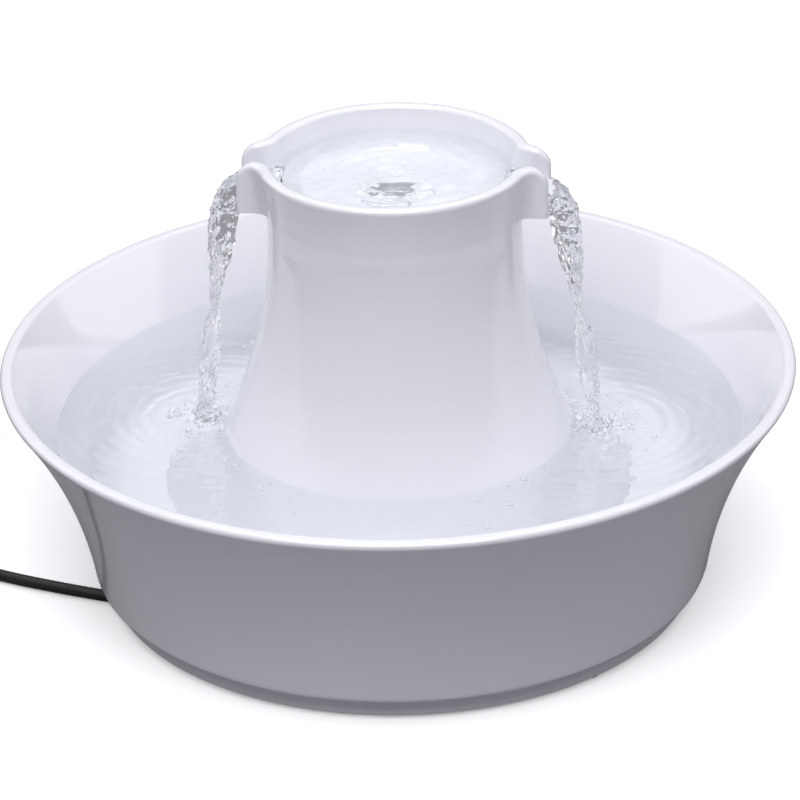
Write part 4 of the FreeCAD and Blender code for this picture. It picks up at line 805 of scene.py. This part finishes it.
def make_lamp(name, place, target, size, power):
    """A rectangular lamp in metres and watts, turned to its target."""
    data = bpy.data.lights.new(name, "AREA")
    data.shape = "RECTANGLE"
    data.size, data.size_y = size
    data.energy = power
    lamp = bpy.data.objects.new(name, data)
    bpy.context.scene.collection.objects.link(lamp)
    lamp.location = place
    lamp.rotation_euler = (Vector(target) - Vector(place)).to_track_quat("-Z", "Y").to_euler()


def make_world():
    """A white surround for the camera and through water; for light and gloss, bright overhead and dim
    towards the horizon."""
    world = bpy.data.worlds.new("studio")
    bpy.context.scene.world = world
    world.use_nodes = True
    nodes, links = world.node_tree.nodes, world.node_tree.links
    light = nodes["Background"]
    light.inputs["Color"].default_value = (0.93, 0.94, 1.0, 1)
    rise = nodes.new("ShaderNodeMapRange")
    for socket, value in (("From Min", -0.1), ("From Max", 0.7), ("To Min", 0.11), ("To Max", 0.46)):
        rise.inputs[socket].default_value = value
    parts = nodes.new("ShaderNodeSeparateXYZ")
    links.new(nodes.new("ShaderNodeTexCoord").outputs["Generated"], parts.inputs[0])
    links.new(parts.outputs["Z"], rise.inputs["Value"])
    links.new(rise.outputs["Result"], light.inputs["Strength"])
    seen = nodes.new("ShaderNodeBackground")
    seen.inputs["Color"].default_value = (1, 1, 1, 1)
    path = nodes.new("ShaderNodeLightPath")
    either = nodes.new("ShaderNodeMath")
    either.operation = "MAXIMUM"
    links.new(path.outputs["Is Camera Ray"], either.inputs[0])
    links.new(path.outputs["Is Transmission Ray"], either.inputs[1])
    mix = nodes.new("ShaderNodeMixShader")
    links.new(either.outputs[0], mix.inputs["Fac"])
    links.new(light.outputs[0], mix.inputs[1])
    links.new(seen.outputs[0], mix.inputs[2])
    links.new(mix.outputs[0], nodes["World Output"].inputs["Surface"])


def make_floor():
    """A floor that looks white and keeps the object's shadow, but sends little light back up. The
    camera also sees a faint even glow on it, which lifts the shadow."""
    mesh = bpy.data.meshes.new("studio_floor")
    half = 6
    corners = [(-half, -half, 0), (half, -half, 0), (half, half, 0), (-half, half, 0)]
    mesh.from_pydata(corners, [], [(0, 1, 2, 3)])
    made = Finish("floor_white", (0.26, 0.26, 0.275), 0.9, Emission_Color=(1, 1, 1, 1))
    path = made.nodes.new("ShaderNodeLightPath")
    made.tint(path.outputs["Is Camera Ray"], 0, 1, (0.97, 0.97, 0.975))
    glow = made.ranged(path.outputs["Is Camera Ray"], 0, 1, 0, 0.30)
    made.links.new(glow, made.shader.inputs["Emission Strength"])
    floor = new_object("studio_floor", mesh, made.done(), smooth=False)
    floor.location.z = -0.2 * MM


def make_light():
    """A lamp overhead, one high in front that lights the tower but not the bowl's outside, and two sides."""
    make_lamp("overhead", (0, 0.25, 1.5), (0, 0, 0.05), (1.5, 1.2), 7)
    make_lamp("front_top", (0, -0.85, 1.35), (0, 0, 0.08), (1.3, 0.7), 15)
    make_lamp("left_softbox", (-1.3, 0.5, 0.9), (0, 0, 0.08), (1.1, 1.3), 4)
    make_lamp("right_softbox", (1.3, 0.5, 0.9), (0, 0, 0.08), (1.1, 1.3), 4)


make_camera()
make_cord()
white_glaze = glaze()
dress_nodes(white_glaze)
make_bowl(white_glaze)
make_filters()
water = clear_water("still_water", (0.915, 0.93, 0.94), 120, 0.0002)
falling = clear_water("falling_water", (0.985, 0.99, 0.995), 260, 0.0003)
make_bowl_water(water)
make_dish_water(water)
for stream_side in (1, -1):
    make_stream(stream_side, falling)
make_bubbles(falling)
make_world()
make_floor()
make_light()

bpy.context.scene.view_settings.view_transform = "Standard"
